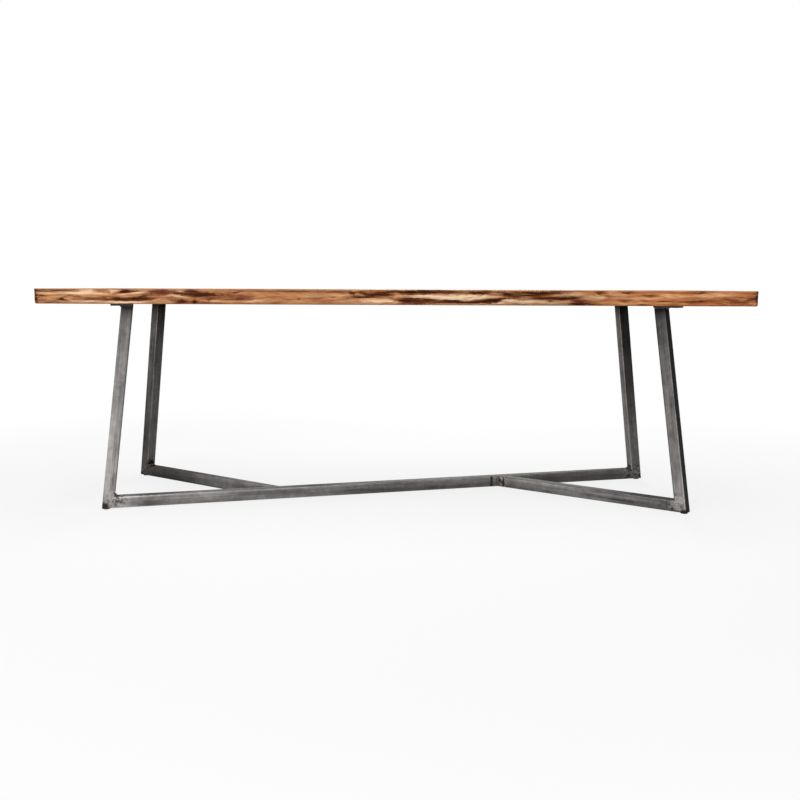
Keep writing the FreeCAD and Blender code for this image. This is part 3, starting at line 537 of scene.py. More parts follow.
# %% Bands of the rear edge
REAR_SEED = 11
FIRST_PLACE = -1180
EDGE_RUN = 2300
LAST_PLACE = 1192
LOWEST = 4
HIGHEST = 46
START_HEIGHTS = (5, 45)
HALF_WIDTHS = (2.2, 4.8)
STRENGTHS = (0.4, 1.0)
STATIONS = (3, 8)
STEPS = (14, 38)
CLIMBS = (-4.5, 4.5)
FADED = 0.3
chance = random.Random(REAR_SEED)


def chance_bands(count, strongest):
    """Bands spread along an edge, each wandering a little up and down and fading at both ends."""
    made = []
    for number in range(count):
        x = FIRST_PLACE + EDGE_RUN * (number + chance.random()) / count
        height = chance.uniform(*START_HEIGHTS)
        width = chance.uniform(*HALF_WIDTHS)
        strength = chance.uniform(*STRENGTHS) * strongest
        stations = chance.randint(*STATIONS)
        band = []
        for station in range(stations):
            fade = FADED + (1 - FADED) * math.sin(math.pi * station / (stations - 1))
            band.append((x, height, width * fade, strength * fade))
            x = min(LAST_PLACE, x + chance.uniform(*STEPS))
            height = min(HIGHEST, max(LOWEST, height + chance.uniform(*CLIMBS)))
        made.append(band)
    return made


REAR_FURROWS = chance_bands(42, 1.0)
REAR_STAINS = chance_bands(34, 0.9)
REAR_MAROONS = chance_bands(14, 0.9)
REAR_CREST_HIGHLIGHTS = chance_bands(28, 0.95)
FAINT_FURROWS = chance_bands(34, 0.3)
REAR_REDNESS = [(-1.2, 0.3), (-0.6, 0.7), (0.0, 0.2), (0.5, 0.75), (1.2, 0.4)]
REAR_LIGHT = [(-1.2, 1.05), (-0.4, 0.95), (0.3, 1.0), (1.2, 0.95)]
print(len(REAR_FURROWS), "furrows behind and", len(FAINT_FURROWS), "faint ones in front")

# %% [markdown]
# ## A strip for the edge
#
# Each outer board starts as a grid that stands on the edge like a strip of paper. Its columns sit closer
# together at both ends, where the corners are round. Later the strip is pulled out row by row, so one
# helper extrudes a row of points and sets it down in its new place. Only the skin of the edge carries
# marks; a pulled row is plain wood, so its marks go back to zero.

# %% A strip for the edge
COLUMNS = 1000
END_COLUMNS = 8
END_ZONE = 0.010
BAND_MARKS = ("furrow", "stain", "maroon", "crest_highlight", "edge")
SLOW_MARKS = ("redness", "light")


def work_on(piece):
    """Makes one piece the only selected and active one."""
    bpy.ops.object.select_all(action="DESELECT")
    piece.select_set(True)
    bpy.context.view_layer.objects.active = piece


def select_points(mesh, chosen):
    """Selects these points and nothing else."""
    mesh.polygons.foreach_set("select", [False] * len(mesh.polygons))
    mesh.edges.foreach_set("select", [False] * len(mesh.edges))
    mesh.vertices.foreach_set("select", [index in chosen for index in range(len(mesh.vertices))])
    bpy.context.tool_settings.mesh_select_mode = (True, False, False)


def column_place(column, half_length):
    """Columns sit closer together at the two ends."""
    if column > COLUMNS / 2:
        return -column_place(COLUMNS - column, half_length)
    if column < END_COLUMNS:
        return -half_length + END_ZONE * (1 - math.cos(math.pi / 2 * column / END_COLUMNS))
    share = (column - END_COLUMNS) / (COLUMNS / 2 - END_COLUMNS)
    return -half_length + END_ZONE + (half_length - END_ZONE) * share


def arris(distance, size):
    """How far a rounded edge has drawn back at this distance from the corner."""
    gap = max(0.0, size - distance)
    return size - math.sqrt(max(0.0, size * size - gap * gap))


def spot_key(spot):
    """A place, rounded so that it can be looked up."""
    return tuple(round(x, 7) for x in spot)


def extrude_row(mesh, row, places):
    """Pulls a row of points out into a new strip and sets each new point in its place."""
    columns = {spot_key(mesh.vertices[index].co): column for column, index in enumerate(row)}
    select_points(mesh, set(row))
    bpy.ops.object.mode_set(mode="EDIT")
    bpy.ops.mesh.extrude_edges_move()
    bpy.ops.object.mode_set(mode="OBJECT")
    fresh = {columns[spot_key(point.co)]: point.index for point in mesh.vertices if point.select}
    for column, index in fresh.items():
        mesh.vertices[index].co = places[column]
        for kind in BAND_MARKS:
            mesh.attributes[kind].data[index].value = 0.0
    return [fresh[column] for column in range(len(row))]


print("strip helpers ready")

# %% [markdown]
# ## How strong a band is
#
# Each point of the strip asks how near it lies to the bands. Asking every band would be slow, so each
# column first collects the stretches that can reach it. A band fades out to both sides, and noise makes it
# waver and swell, since nothing that grew is ruled straight.

# %% How strong a band is
BAND_REACH = 0.03
HALO = 1.6
WAVER_ALONG = 0.004
WAVER_UP = 0.0015
SWELL = 1.15
SLOW_SWELL = 0.35
QUICK_SWELL = 0.3


def near_bands(bands, xs):
    """For every column of the strip, the stretches of bands that can reach it, in metres."""
    stretches = []
    for band in bands:
        stations = [(x / 1000, height / 1000, width / 1000, strength) for x, height, width, strength in band]
        stretches += zip(stations, stations[1:])
    reaches = [(pair[0][0] - BAND_REACH, pair[1][0] + BAND_REACH, pair) for pair in stretches]
    return [[pair for start, end, pair in reaches if start < x < end] for x in xs]


def band_strength(near, x, height):
    """The strongest band at a place on the edge, and its wider halo."""
    x = x + WAVER_ALONG * noise.noise((x * 30.0, height * 90.0, 3.0))
    height = height + WAVER_UP * noise.noise((x * 45.0, height * 60.0, 8.0))
    swell = SWELL + SLOW_SWELL * noise.noise((x * 60.0, height * 60.0, 1.0))
    swell = swell + QUICK_SWELL * noise.noise((x * 130.0, height * 170.0, 6.0))
    best = halo = 0.0
    for (left, low, first_width, first), (right, high, last_width, last) in near:
        along, rise = right - left, high - low
        share = ((x - left) * along + (height - low) * rise) / max(1e-9, along * along + rise * rise)
        share = min(1.0, max(0.0, share))
        away = math.hypot(x - left - along * share, height - low - rise * share)
        away = away / (swell * (first_width + (last_width - first_width) * share))
        strength = first + (last - first) * share
        best = max(best, strength * math.exp(-away ** 3))
        halo = max(halo, strength * math.exp(-(away / HALO) ** 2))
    return best, halo


def value_along(stops, x):
    """Straight lines between listed values."""
    for (left, first), (right, last) in zip(stops, stops[1:]):
        if x <= right:
            return first + (last - first) * max(0.0, x - left) / (right - left)
    return stops[-1][1]


print("band helpers ready")

# %% [markdown]
# ## Building a live-edge board
#
# The CAD board says where the edge runs, so a ray finds it for every column of the strip. Furrows are
# pressed into the strip, never outwards, so the board keeps its size, and the marks are stored on the
# points. Four extrusions then take the strip over the top, down the glue joint and back under the board, a
# bridge closes it below, and the two open ends are filled.

# %% Building a live-edge board
ROWS = 26
UPPER_ARRIS = 0.003
LOWER_ARRIS = 0.007
FURROW_DEPTH = 0.0040
RIPPLE_DEPTH = 0.0030
CALM_ZONE = 0.006
UPPER_CALM = 0.2
LOWER_CALM = 0.35
SKIN_RETURN = 0.003
FURROW_PRESS = 0.6
STAIN_PRESS = 0.4
CREST_CALM = 0.7
HALO_STAIN = 0.75
RIPPLE_MIDDLE = 0.45
RIPPLE_SWING = 0.5
RAY_START = 1.0
RAY_INSET = 0.00005
SMOOTH_ANGLE = math.radians(40)


def edge_line(node, side, xs, middle):
    """Where the CAD board's edge runs, found with one ray for each column."""
    safe = xs[-1] - RAY_INSET
    line = []
    for x in xs:
        start = Vector((min(safe, max(-safe, x)), side * RAY_START, middle))
        _, spot, _, _ = nodes[node].ray_cast(start, Vector((0, -side, 0)))
        line.append(spot.y)
    return line


def close_board(mesh, strip, lowest_row):
    """Joins the last strip to the first row, fills both ends and turns the faces outwards."""
    select_points(mesh, set(strip) | set(lowest_row))
    bpy.ops.object.mode_set(mode="EDIT")
    bpy.ops.mesh.bridge_edge_loops()
    bpy.ops.mesh.select_all(action="DESELECT")
    bpy.ops.mesh.select_non_manifold()
    bpy.ops.mesh.fill_holes(sides=0)
    bpy.ops.mesh.select_all(action="SELECT")
    bpy.ops.mesh.normals_make_consistent(inside=False)
    bpy.ops.object.mode_set(mode="OBJECT")
    bpy.ops.object.shade_smooth_by_angle(angle=SMOOTH_ANGLE)


def live_edge_board(name, node, side, bands, redness, light, material):
    """One outer board. side is -1 for the front and 1 for the rear; bands are its four kinds of bands."""
    low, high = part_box(node)
    half_length = high.x
    glue_line = [low.y if side > 0 else high.y] * (COLUMNS + 1)
    bpy.ops.object.select_all(action="DESELECT")
    bpy.ops.mesh.primitive_grid_add(x_subdivisions=COLUMNS, y_subdivisions=ROWS, size=1)
    piece = bpy.context.object
    piece.name = name
    mesh = piece.data
    for kind in BAND_MARKS + SLOW_MARKS:
        mesh.attributes.new(kind, "FLOAT", "POINT")
    xs = [column_place(column, half_length) for column in range(COLUMNS + 1)]
    line = edge_line(node, side, xs, (low.z + high.z) / 2)
    tops = [high.z - arris(half_length - abs(x), UPPER_ARRIS) for x in xs]
    bottoms = [low.z + arris(half_length - abs(x), LOWER_ARRIS) for x in xs]
    furrows, stains, maroons, crests = [near_bands(kind, xs) for kind in bands]
    lowest_row, highest_row = [0] * (COLUMNS + 1), [0] * (COLUMNS + 1)
    for point in mesh.vertices:
        column = round((point.co.x + 0.5) * COLUMNS)
        row = round((point.co.y + 0.5) * ROWS)
        share = row / ROWS
        share = 0.5 * share + 0.25 * (1 - math.cos(math.pi * share))
        x, top, bottom = xs[column], tops[column], bottoms[column]
        z = bottom + (top - bottom) * share
        height = z - low.z
        furrow, halo = band_strength(furrows[column], x, height)
        stain = max(HALO_STAIN * halo, sum(band_strength(stains[column], x, height)) / 2)
        maroon = band_strength(maroons[column], x, height)[1]
        crest_highlight = sum(band_strength(crests[column], x, height)) / 2
        ripple = noise.fractal((x * 9.0, height * 48.0 + x * 7.0, 5.0 * side), 0.9, 2.2, 4)
        ripple = min(1.0, max(0.0, RIPPLE_MIDDLE - RIPPLE_SWING * ripple))
        calm = min(1.0, (top - z) / CALM_ZONE + UPPER_CALM) * min(1.0, (z - bottom) / CALM_ZONE + LOWER_CALM)
        pressed = FURROW_DEPTH * (FURROW_PRESS * furrow + STAIN_PRESS * max(stain, maroon))
        inward = (pressed + RIPPLE_DEPTH * ripple * (1 - CREST_CALM * crest_highlight)) * calm
        inward += max(arris(top - z, UPPER_ARRIS), arris(z - bottom, LOWER_ARRIS))
        point.co = (x, line[column] - side * inward, z)
        marks = (furrow, stain, maroon, crest_highlight * (1 - furrow), 1.0)
        marks += (value_along(redness, x), value_along(light, x))
        for kind, value in zip(BAND_MARKS + SLOW_MARKS, marks):
            mesh.attributes[kind].data[point.index].value = value
        if row == 0:
            lowest_row[column] = point.index
        if row == ROWS:
            highest_row[column] = point.index
    work_on(piece)
    over = [mesh.vertices[index].co.y - side * SKIN_RETURN for index in highest_row]
    under = [mesh.vertices[index].co.y - side * SKIN_RETURN for index in lowest_row]
    strip = highest_row
    for ys, heights in ((over, tops), (glue_line, tops), (glue_line, bottoms), (under, bottoms)):
        strip = extrude_row(mesh, strip, [Vector(spot) for spot in zip(xs, ys, heights)])
    close_board(mesh, strip, lowest_row)
    mesh.materials.append(material)
    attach(piece, "root")
    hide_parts(node)
    print(name, len(mesh.polygons), "faces")


print("board builder ready")

# %% [markdown]
# ## The boards of the top
#
# The three boards come from three logs, so each has its own pith. The middle board has no live edge: its
# CAD shape stays and only gets the wood finish.

# %% The boards of the top
FRONT_PITH = (-0.16, 0.62)
REAR_PITH = (0.20, 0.60)
MIDDLE_PITH = (0.03, 0.56)
FRONT_BANDS = (FRONT_FURROWS_AND_END_SHADE + FAINT_FURROWS, FRONT_STAINS, FRONT_MAROONS, FRONT_CREST_HIGHLIGHTS)
REAR_BANDS = (REAR_FURROWS, REAR_STAINS, REAR_MAROONS, REAR_CREST_HIGHLIGHTS)
front_wood = wood_finish("front_board_wood", FRONT_PITH, 2.0, -1.0)
live_edge_board("front_board", "front_live_edge_board", -1,
                FRONT_BANDS, FRONT_REDNESS, FRONT_LIGHT, front_wood)
rear_wood = wood_finish("rear_board_wood", REAR_PITH, 17.0, 1.0)
live_edge_board("rear_board", "rear_live_edge_board", 1,
                REAR_BANDS, REAR_REDNESS, REAR_LIGHT, rear_wood)
finish_node("middle_board", wood_finish("middle_board_wood", MIDDLE_PITH, 31.0))
print("middle board finished")

# %% [markdown]
# ## Raw steel tube
#
# The tubes are bare steel under clear lacquer: drawn lengthwise, so they carry long faint lines, with
# clouds of mill scale, and blotches where the mitres were ground after welding. One finish for all would
# run its lines across the slanted legs, so each tube turns the pattern into its own direction with a
# Mapping node that starts at its heel. Heat marks follow the welds: black at the bead, then a bronze ring.

# %% Raw steel tube
LONG_YAW = math.radians(16.5)
SHORT_YAW = math.radians(-34.5)
LONG_LEAN = math.radians(7.0)
SHORT_LEAN = math.radians(8.25)
LYING = math.pi / 2
TUBE_SIDE = 0.040
LEG_LENGTH = 0.715
RAIL_SHADE = (0.016, 0.036, 0.93, 1.25)
LEG_TOP_SHADE = (LEG_LENGTH - 0.055, LEG_LENGTH - 0.02, 1.0, 0.62)
# Painted shadow at the very top of each leg, under the plate.
LEG_TOP_SHADOW = (LEG_LENGTH - 0.022, LEG_LENGTH - 0.006, 1.0, 0.4)
FACE_TURN = 0.001
ARRIS_TURN = 0.012
ARRIS_START = 0.0135
ARRIS_FULL = 0.0185
STEEL_RELIEF = 0.00025
HEELS = {
    "front_left": ((-1.0266, -0.2996, 0.005), LONG_YAW + math.pi, LONG_LEAN),
    "rear_right": ((0.9966, 0.2996, 0.005), LONG_YAW, LONG_LEAN),
    "front_right": ((1.0243, -0.3041, 0.005), SHORT_YAW, SHORT_LEAN),
    "rear_left": ((-1.0543, 0.3041, 0.005), SHORT_YAW + math.pi, SHORT_LEAN),
}


def along_tube(tree, run, stops):
    """A value that goes in straight lines through listed values; places are metres from the heel."""
    value = stops[0][1]
    for (start, first), (end, last) in zip(stops, stops[1:]):
        step = add(tree, "MapRange", {0: run, 1: start, 2: end, 3: 1.0, 4: last / first}).outputs[0]
        value = times(tree, value, step)
    return value


def tube_mottle_and_light(tree, turned, mottle, lying, painted_light):
    """Painted light and shade on a tube, times its random mottle: along it, from face to face, and as a
    painted highlight or shade on its arrises.
    """
    along_light, side_light, arris_light = painted_light
    spot = add(tree, "SeparateXYZ", {0: turned})
    across, run = spot.outputs["X"], spot.outputs["Z"]
    tone = times(tree, along_tube(tree, run, along_light), mottle)
    if lying:
        tone = times(tree, tone, between(tree, across, *RAIL_SHADE))
    else:
        tone = times(tree, tone, between(tree, run, *LEG_TOP_SHADE))
        tone = times(tree, tone, between(tree, run, *LEG_TOP_SHADOW))
    middle = TUBE_SIDE / 2 if lying else -TUBE_SIDE / 2
    deep = calc(tree, "ABSOLUTE", calc(tree, "SUBTRACT", across, middle))
    wide = calc(tree, "ABSOLUTE", spot.outputs["Y"])
    on_side = between(tree, calc(tree, "SUBTRACT", deep, wide), -FACE_TURN, FACE_TURN)
    side = calc(tree, "SUBTRACT", along_tube(tree, run, side_light), 1.0)
    tone = times(tree, tone, scaled(tree, on_side, side, 1.0))
    to_arris = calc(tree, "MINIMUM", deep, wide)
    at_arris = between(tree, across, middle - ARRIS_TURN, middle + ARRIS_TURN, *arris_light)
    return times(tree, tone, between(tree, to_arris, ARRIS_START, ARRIS_FULL, 1.0, at_arris))


def steel_finish(name, foot, lean, painted_light, seed, heat_and_shadow_spots, ground_spots, scorch_lines=()):
    """Bare lacquered steel. Hot spots are weld heat tint and painted shadow at the heels, ground spots
    dressed corners, scorch lines upright dark marks; the light list holds the painted light and shade along
    the tube, factors for its two other faces, and two for the arrises."""
    heel, yaw, _ = HEELS[foot]
    material, tree, shader, place = start_finish(name)
    own_way = {"Vector": place, "Location": heel, "Rotation": (0.0, -lean, yaw)}
    turned = add(tree, "Mapping", own_way, vector_type="TEXTURE").outputs[0]
    lines = speckle(tree, turned, (260.0, 260.0, 2.4), detail=4.0, roughness=0.7, shift=seed)
    bands = speckle(tree, turned, (75.0, 75.0, 3.0), detail=2.0, shift=seed + 4.0)
    clouds = speckle(tree, turned, (16.0, 16.0, 7.0), detail=5.0, roughness=0.6, shift=seed + 8.0)
    blotch = speckle(tree, turned, (75.0, 75.0, 75.0), shift=seed)
    wear = plus(tree, times(tree, lines, 0.26), times(tree, bands, 0.30))
    wear = plus(tree, wear, times(tree, clouds, 0.44))
    steel = ramp(tree, wear, [(0.34, "4c4a48"), (0.46, "848180"), (0.56, "9d9a97"), (0.68, "bebab6")])
    patchy = ramp(tree, blotch, [(0.36, "474543"), (0.45, "858280"), (0.55, "b4b1ae"), (0.66, "8b8886")])
    for spot, reach in ground_spots:
        away = plus(tree, span(tree, place, spot), times(tree, clouds, 0.03))
        steel = mix(tree, between(tree, away, reach * 0.55, reach, 0.8, 0.0), steel, patchy)
    mottle = between(tree, blotch, 0.36, 0.64, 0.9, 1.1)
    # Painted light and shade along each tube, times a random mottle.
    steel = dim(tree, steel, tube_mottle_and_light(tree, turned, mottle, lean == LYING, painted_light))
    # Weld heat tint, and painted shadow at the heels and in the rear left corner.
    for spot, reach in heat_and_shadow_spots:
        away = plus(tree, span(tree, place, spot), scaled(tree, blotch, 0.022, -0.011))
        steel = mix(tree, between(tree, away, reach * 0.9, reach * 2.0, 0.2, 0.0), steel, shade("5b4a3a"))
        steel = mix(tree, between(tree, away, reach * 0.45, reach, 0.92, 0.0), steel, shade("171614"))
    for spot, reach in scorch_lines:
        flattened = reckon(tree, "MULTIPLY", place, (1.0, 1.0, 0.12))
        away = plus(tree, span(tree, flattened, spot), scaled(tree, blotch, 0.012, -0.006))
        steel = mix(tree, between(tree, away, reach * 0.4, reach, 0.85, 0.0), steel, shade("1c1a18"))
    gloss = scaled(tree, clouds, 0.22, scaled(tree, lines, 0.12, 0.30))
    shader.inputs["Metallic"].default_value = 0.4
    shader.inputs["Specular IOR Level"].default_value = 0.03
    shader.inputs["Specular Tint"].default_value = (0.1, 0.1, 0.1, 1.0)
    end_finish(tree, shader, steel, gloss, plus(tree, lines, blotch), STEEL_RELIEF)
    return material


print("steel finish ready for", len(HEELS), "feet")

# %% [markdown]
# ## Legs
#
# Every leg gets a painted shadow at its heel and is ground round its mitre. In the photo each one also has
# its own run of light and dark, and a lamp alone does not give that, so part of it is painted into the finish
# as light and shade. Each list holds the painted lightness at a few places from the heel up, then the factors
# of painted light and shade for the two faces that look along the rail, and last those of painted highlight
# or shade for the arrises of the inner and of the outer face.

# %% Legs
WELD_HEAT = 0.019
# The rear left corner weld's heat tint is widened into painted shadow in that corner.
WIDE_WELD_HEAT_AND_SHADOW = {"rear_left_corner_weld": 0.030}
# Painted shadow at the two lower corners of each heel; at the front left it reaches further.
HEEL_SHADOW = 0.020
WIDE_HEEL_SHADOW = {"front_left": 0.030}
HEEL_INSET = 0.006
PATCH_DROP = 0.02
CORNER_PATCH = 0.075
LEG_SEED = 3.0
LEG_PAINTED_LIGHT = {
    "front_left": (
        [(0.0, 1.1), (0.08, 1.15), (0.15, 1.5), (0.24, 1.48), (0.38, 0.84), (0.52, 0.84), (0.66, 0.50)],
        [(0.0, 1.0), (0.7, 1.0)],
        (0.72, 0.72)),
    "front_right": (
        [(0.0, 0.7), (0.08, 1.15), (0.15, 0.62), (0.38, 0.64), (0.52, 0.52), (0.66, 0.28)],
        [(0.0, 0.28), (0.3, 0.24), (0.6, 0.12)],
        (0.6, 1.5)),
    "rear_left": (
        [(0.0, 0.28), (0.24, 0.27), (0.38, 0.34), (0.50, 0.36), (0.59, 0.60), (0.66, 0.46)],
        [(0.0, 1.8), (0.24, 1.8), (0.38, 1.6), (0.50, 1.2), (0.59, 0.48), (0.66, 0.36)],
        (1.5, 0.6)),
    "rear_right": (
        [(0.0, 0.55), (0.24, 0.32), (0.38, 0.18), (0.55, 0.10)],
        [(0.0, 1.8), (0.24, 2.5), (0.40, 4.4), (0.60, 7.5)],
        (1.4, 0.68)),
}


def centre_of(node):
    """The middle of a CAD piece."""
    low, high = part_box(node)
    return (low + high) / 2


def weld_marks(*names):
    """Hot spots at the middle of these weld pieces."""
    return [(centre_of(name), WIDE_WELD_HEAT_AND_SHADOW.get(name, WELD_HEAT)) for name in names]


def heel_shadows(foot):
    """Painted shadow on the two lower corners of a heel, where it meets the glide."""
    heel, yaw, _ = HEELS[foot]
    aside = Vector((-math.sin(yaw), math.cos(yaw), 0.0)) * (TUBE_SIDE / 2)
    inwards = Vector((-math.cos(yaw), -math.sin(yaw), 0.0)) * HEEL_INSET
    return [(Vector(heel) + inwards + side, WIDE_HEEL_SHADOW.get(foot, HEEL_SHADOW)) for side in (aside, -aside)]


def dressed_corner(foot):
    """The ground patch round the mitre of a foot."""
    return (centre_of(foot + "_corner_weld") - Vector((0, 0, PATCH_DROP)), CORNER_PATCH)


for number, (foot, (_, _, lean)) in enumerate(HEELS.items()):
    heat_and_shadow = weld_marks(foot + "_corner_weld") + heel_shadows(foot)
    dressed = [dressed_corner(foot)]
    finish = steel_finish(foot + "_leg_steel", foot, lean, LEG_PAINTED_LIGHT[foot], LEG_SEED + number, heat_and_shadow, dressed)
    finish_node(foot + "_leg", finish)
print("steel on", len(HEELS), "legs")

# %% [markdown]
# ## Rails
#
# The rails get the same finish, turned to lie along each rail from its heel. Their lists read like those of
# the legs, except that the two other faces look up and down, and the arrises are those of the lower and of
# the upper face. Narrow scorch lines stand where the front right rail meets the long one.

# %% Rails
RAIL_SEED = 21.0
JOINT_PATCH = 0.06
RAIL_PAINTED_LIGHT = {
    "long_floor_rail": (
        [(0.0, 1.1), (0.08, 1.0), (0.16, 0.50), (0.33, 1.05), (0.51, 0.70), (0.88, 0.69), (1.08, 0.46),
         (1.42, 0.57), (1.80, 0.35)],
        [(0.0, 0.75), (0.15, 0.8), (0.25, 1.1), (1.20, 1.1), (1.45, 0.75)],
        (1.3, 1.7)),
    "front_right_floor_rail": (
        [(0.0, 0.85), (0.03, 0.75), (0.07, 0.30), (0.16, 0.38), (0.33, 0.76), (0.60, 0.60)],
        [(0.0, 0.65), (0.755, 0.65)],
        (1.0, 1.15)),
    "rear_left_floor_rail": (
        [(0.0, 0.17), (0.15, 0.16), (0.38, 0.35), (0.61, 0.63)],
        [(0.0, 1.7), (0.755, 1.7)],
        (1.0, 1.1)),
}
RAIL_ENDS = {
    "long_floor_rail": (["front_left", "rear_right"], "front_right_rail_weld"),
    "front_right_floor_rail": (["front_right"], "front_right_rail_weld"),
    "rear_left_floor_rail": (["rear_left"], "rear_left_rail_weld"),
}
JOINT_MARKS = {
    "long_floor_rail": [((0.3736, 0.0943, 0.003), 0.008)],
    "front_right_floor_rail": [((0.4005, 0.1004, 0.003), 0.007), ((0.4192, 0.0875, 0.003), 0.007)],
}

for number, (rail, (feet, joint)) in enumerate(RAIL_ENDS.items()):
    heat_and_shadow = weld_marks(*[end + "_corner_weld" for end in feet]) + heel_shadows(feet[0])
    dressed = [dressed_corner(end) for end in feet] + [(centre_of(joint), JOINT_PATCH)]
    finish = steel_finish(rail + "_steel", feet[0], LYING, RAIL_PAINTED_LIGHT[rail], RAIL_SEED + number, heat_and_shadow, dressed,
                          JOINT_MARKS.get(rail, ()))
    finish_node(rail, finish)
print("steel on", len(RAIL_ENDS), "rails")

# %% [markdown]
# ## Finding the weld bars
#
# The CAD beads are plain three-sided bars, several to a piece. To shape a bar one has to know which points
# belong to it, where its root line runs in the corner between the tubes, and in which two directions its
# legs reach out from there. These helpers find that out, and divide chosen edges.

# %% Finding the weld bars
LONG_EDGE = 0.010
ROOT_CLEARANCE = 1e-5
OFF_LINE_COST = 5


def islands(mesh):
    """Groups of points that hang together."""
    linked = {index: [] for index in range(len(mesh.vertices))}
    for edge in mesh.edges:
        first, second = edge.vertices
        linked[first].append(second)
        linked[second].append(first)
    left = set(linked)
    groups = []
    while left:
        waiting = [left.pop()]
        group = []
        while waiting:
            index = waiting.pop()
            group.append(index)
            fresh = [other for other in linked[index] if other in left]
            left.difference_update(fresh)
            waiting.extend(fresh)
        groups.append(sorted(group))
    return groups


def bead_corner(mesh, group):
    """The root line of one bar, its two leg directions and its leg length."""
    corners = [mesh.vertices[index].co.copy() for index in group]
    best = None
    for first in corners:
        near = sorted(corners, key=lambda other: (other - first).length)[1:3]
        sides = [(other - first) for other in near]
        uneven = abs(sides[0].length - sides[1].length)
        if best is None or uneven < best[0] - 1e-7:
            best = (uneven, first, sides)
    _, root, sides = best
    along = sides[0].cross(sides[1]).normalized()

    def straight_away(other):
        """High for a point that lies far along the bar and close to its root line."""
        gap = other - root
        return abs(gap.dot(along)) - OFF_LINE_COST * gap.cross(along).length

    far = max(corners, key=straight_away)
    return root, far, sides[0].normalized(), sides[1].normalized(), sides[0].length


def edge_length(mesh, edge):
    """Length of an edge."""
    first, second = edge.vertices
    return (mesh.vertices[first].co - mesh.vertices[second].co).length


def is_slope(mesh, edge, roots):
    """True for the short edges of the sloping face, which stay clear of the root lines."""
    ends = [mesh.vertices[index].co for index in edge.vertices]
    clear = all((end - spot).length > ROOT_CLEARANCE for end in ends for spot in roots)
    return clear and edge_length(mesh, edge) < LONG_EDGE


def split_edges(mesh, wanted, cuts):
    """Divides the edges that answer a question."""
    select_points(mesh, set())
    bpy.context.tool_settings.mesh_select_mode = (False, True, False)
    mesh.edges.foreach_set("select", [wanted(edge) for edge in mesh.edges])
    bpy.ops.object.mode_set(mode="EDIT")
    bpy.ops.mesh.subdivide(number_cuts=cuts)
    bpy.ops.object.mode_set(mode="OBJECT")


print("weld helpers ready")

# %% [markdown]
# ## Weld beads
#
# A weld is laid down in small puddles, one over the other, which leaves crescent ripples. A copy of each
# CAD piece is merged, the sloping face of each bar is divided, and the points are then pushed out to a
# round back with ripples, and drawn in at both ends, as a bead starts and stops.

# %% Weld beads
ACROSS_CUTS = 7
ALONG_CUTS = 90
MERGE_DISTANCE = 0.000005
FLAT_ANGLE = 0.02
BEAD_GROWTH = {"corner": 1.3, "plate": 0.85, "rail": 1.6}
BEAD_CROWN = 0.38
RIPPLE_PITCH = 0.0023
RIPPLE_BEND = 0.0016
RIPPLE_RISE = 0.14
BEAD_END = 0.003
END_DRAW = 0.9
END_LEFT = 0.02
PUDDLE_SHAPE = 0.7
LUMP_RISE = 0.10
LUMPS_PER_METRE = 160.0
AT_ROOT = 0.05
WELD_RELIEF = 0.0002


def shape_bead(mesh, group, corner, size):
    """Rounds one bar into a rippled bead."""
    root, far, first, second, leg = corner
    run = far - root
    length = run.length
    spread = first.dot(second)
    for index in group:
        point = mesh.vertices[index]
        gap = point.co - root
        travel = gap.dot(run) / length
        gap = gap - run * (travel / length)
        one, two = gap.dot(first), gap.dot(second)
        share_one = (one - spread * two) / (1 - spread * spread) / leg
        share_two = (two - spread * one) / (1 - spread * spread) / leg
        reach = share_one + share_two
        if reach < AT_ROOT:
            continue
        side = share_two / reach
        crown = 4 * side * (1 - side)
        phase = ((travel + RIPPLE_BEND * (1 - crown)) / RIPPLE_PITCH) % 1.0
        puddle = math.sin(math.pi * phase) ** PUDDLE_SHAPE
        uneven = LUMP_RISE * noise.noise(point.co * LUMPS_PER_METRE)
        growth = size * (1 + BEAD_CROWN * crown + RIPPLE_RISE * (puddle - 0.5) * crown + uneven)
        from_end = min(travel, length - travel)
        closing = max(0.0, 1 - from_end / BEAD_END)
        growth = growth * math.sqrt(max(END_LEFT, 1 - END_DRAW * closing * closing))
        point.co = root + run * (travel / length) + gap * growth


def weld_finish():
    """Bare weld metal: dull grey crests, brown heat tint, soot in the grooves."""
    material, tree, shader, place = start_finish("weld_metal")
    tint = speckle(tree, place, (60.0, 60.0, 60.0), shift=4.0)
    soot = speckle(tree, place, (420.0, 420.0, 420.0), shift=9.0)
    colour = ramp(tree, tint, [(0.3, "2a2724"), (0.5, "3e3a36"), (0.62, "4d4238"), (0.75, "35373b")])
    colour = mix(tree, between(tree, soot, 0.5, 0.7, 0.0, 0.8), colour, shade("141312"))
    shader.inputs["Metallic"].default_value = 0.45
    end_finish(tree, shader, colour, scaled(tree, soot, 0.4, 0.28), soot, WELD_RELIEF)
    return material


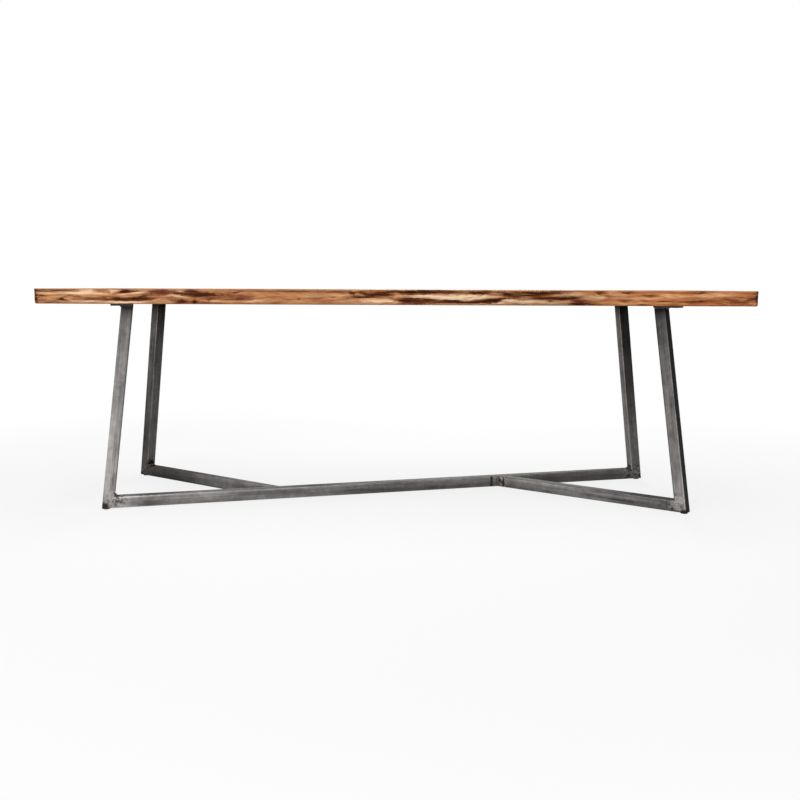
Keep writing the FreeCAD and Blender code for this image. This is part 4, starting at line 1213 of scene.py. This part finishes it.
weld_metal = weld_finish()
weld_count = 0
for node in sorted(name for name in nodes if name.endswith("_weld")):
    bead = bpy.data.objects.new(node.replace("_weld", "_bead"), nodes[node].data.copy())
    bpy.context.scene.collection.objects.link(bead)
    mesh = bead.data
    work_on(bead)
    bpy.ops.object.mode_set(mode="EDIT")
    bpy.ops.mesh.select_all(action="SELECT")
    bpy.ops.mesh.remove_doubles(threshold=MERGE_DISTANCE)
    bpy.ops.mesh.tris_convert_to_quads(face_threshold=FLAT_ANGLE, shape_threshold=math.pi)
    bpy.ops.object.mode_set(mode="OBJECT")
    bars = [bead_corner(mesh, group) for group in islands(mesh)]
    roots = [spot for bar in bars for spot in bar[:2]]
    split_edges(mesh, lambda edge: is_slope(mesh, edge, roots), ACROSS_CUTS)
    split_edges(mesh, lambda edge: edge_length(mesh, edge) > LONG_EDGE, ALONG_CUTS)
    for group in islands(mesh):
        own = min(bars, key=lambda bar: min((mesh.vertices[index].co - bar[0]).length for index in group))
        shape_bead(mesh, group, own, BEAD_GROWTH[node.split("_")[-2]])
        weld_count += 1
    bpy.ops.object.shade_smooth()
    mesh.materials.clear()
    mesh.materials.append(weld_metal)
    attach(bead, "root")
    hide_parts(node)
print(weld_count, "weld beads")

# %% [markdown]
# ## Plates, bolts, washers and inserts
#
# The plates are hot-rolled bar with its dark scale left on. Bolts and washers are black zinc plated, a
# little cloudy, and sit in counterbores. Their CAD shape is right, so a finish is enough. The inserts sit
# inside the wood and are never seen, but they get a plain turned-steel finish all the same.

# %% Plates, bolts, washers and inserts
SCALE_SHADES = [(0.3, "221f1d"), (0.5, "383330"), (0.7, "4c4540")]
ZINC_SHADES = [(0.3, "191a1c"), (0.5, "26272a"), (0.7, "3a3a36")]
TURNED_SHADES = [(0.3, "8d8c86"), (0.5, "a3a19a"), (0.7, "b8b6ae")]


def metal_finish(name, stops, blotch, fine, metallic, rough, depth):
    """A metal with clouds of two sizes, the finer of which also roughens it."""
    material, tree, shader, place = start_finish(name)
    cloud = speckle(tree, place, (blotch,) * 3, detail=4.0, shift=2.0)
    grain = speckle(tree, place, (fine,) * 3, shift=6.0)
    value = plus(tree, times(tree, cloud, 0.6), times(tree, grain, 0.4))
    shader.inputs["Metallic"].default_value = metallic
    end_finish(tree, shader, ramp(tree, value, stops), scaled(tree, grain, 0.25, rough), grain, depth)
    return material


plate_scale = metal_finish("plate_scale", SCALE_SHADES, 45, 500, metallic=0.1, rough=0.4, depth=0.0002)
zinc = metal_finish("black_zinc", ZINC_SHADES, 220, 1800, metallic=0.6, rough=0.3, depth=0.00005)
turned_steel = metal_finish("turned_steel", TURNED_SHADES, 260, 2200, metallic=0.9, rough=0.25, depth=0.00005)
for foot in HEELS:
    finish_node(foot + "_top_plate", plate_scale)
finish_node("plate_bolts", zinc)
finish_node("plate_washers", zinc)
finish_node("threaded_inserts", turned_steel)
print("plates and fasteners finished")

# %% [markdown]
# ## Glides
#
# The glides are moulded black plastic. A perfect black disc looks like a hole, so the finish has the fine
# grain of a spark-eroded mould and a little grey dust in it.

# %% Glides
MOULD_GRAIN = 0.00006


def plastic_finish():
    """Black moulded plastic with a fine grain and a trace of dust."""
    material, tree, shader, place = start_finish("glide_plastic")
    grain = speckle(tree, place, (1500.0, 1500.0, 1500.0), detail=2.0)
    dust = speckle(tree, place, (180.0, 180.0, 320.0), detail=4.0, shift=5.0)
    colour = mix(tree, between(tree, dust, 0.55, 0.8, 0.0, 0.4), shade("131313"), shade("4c4a46"))
    end_finish(tree, shader, colour, scaled(tree, grain, 0.25, 0.42), grain, MOULD_GRAIN)
    return material


glide_plastic = plastic_finish()
for foot in HEELS:
    finish_node(foot + "_glide", glide_plastic)
print("glides finished")
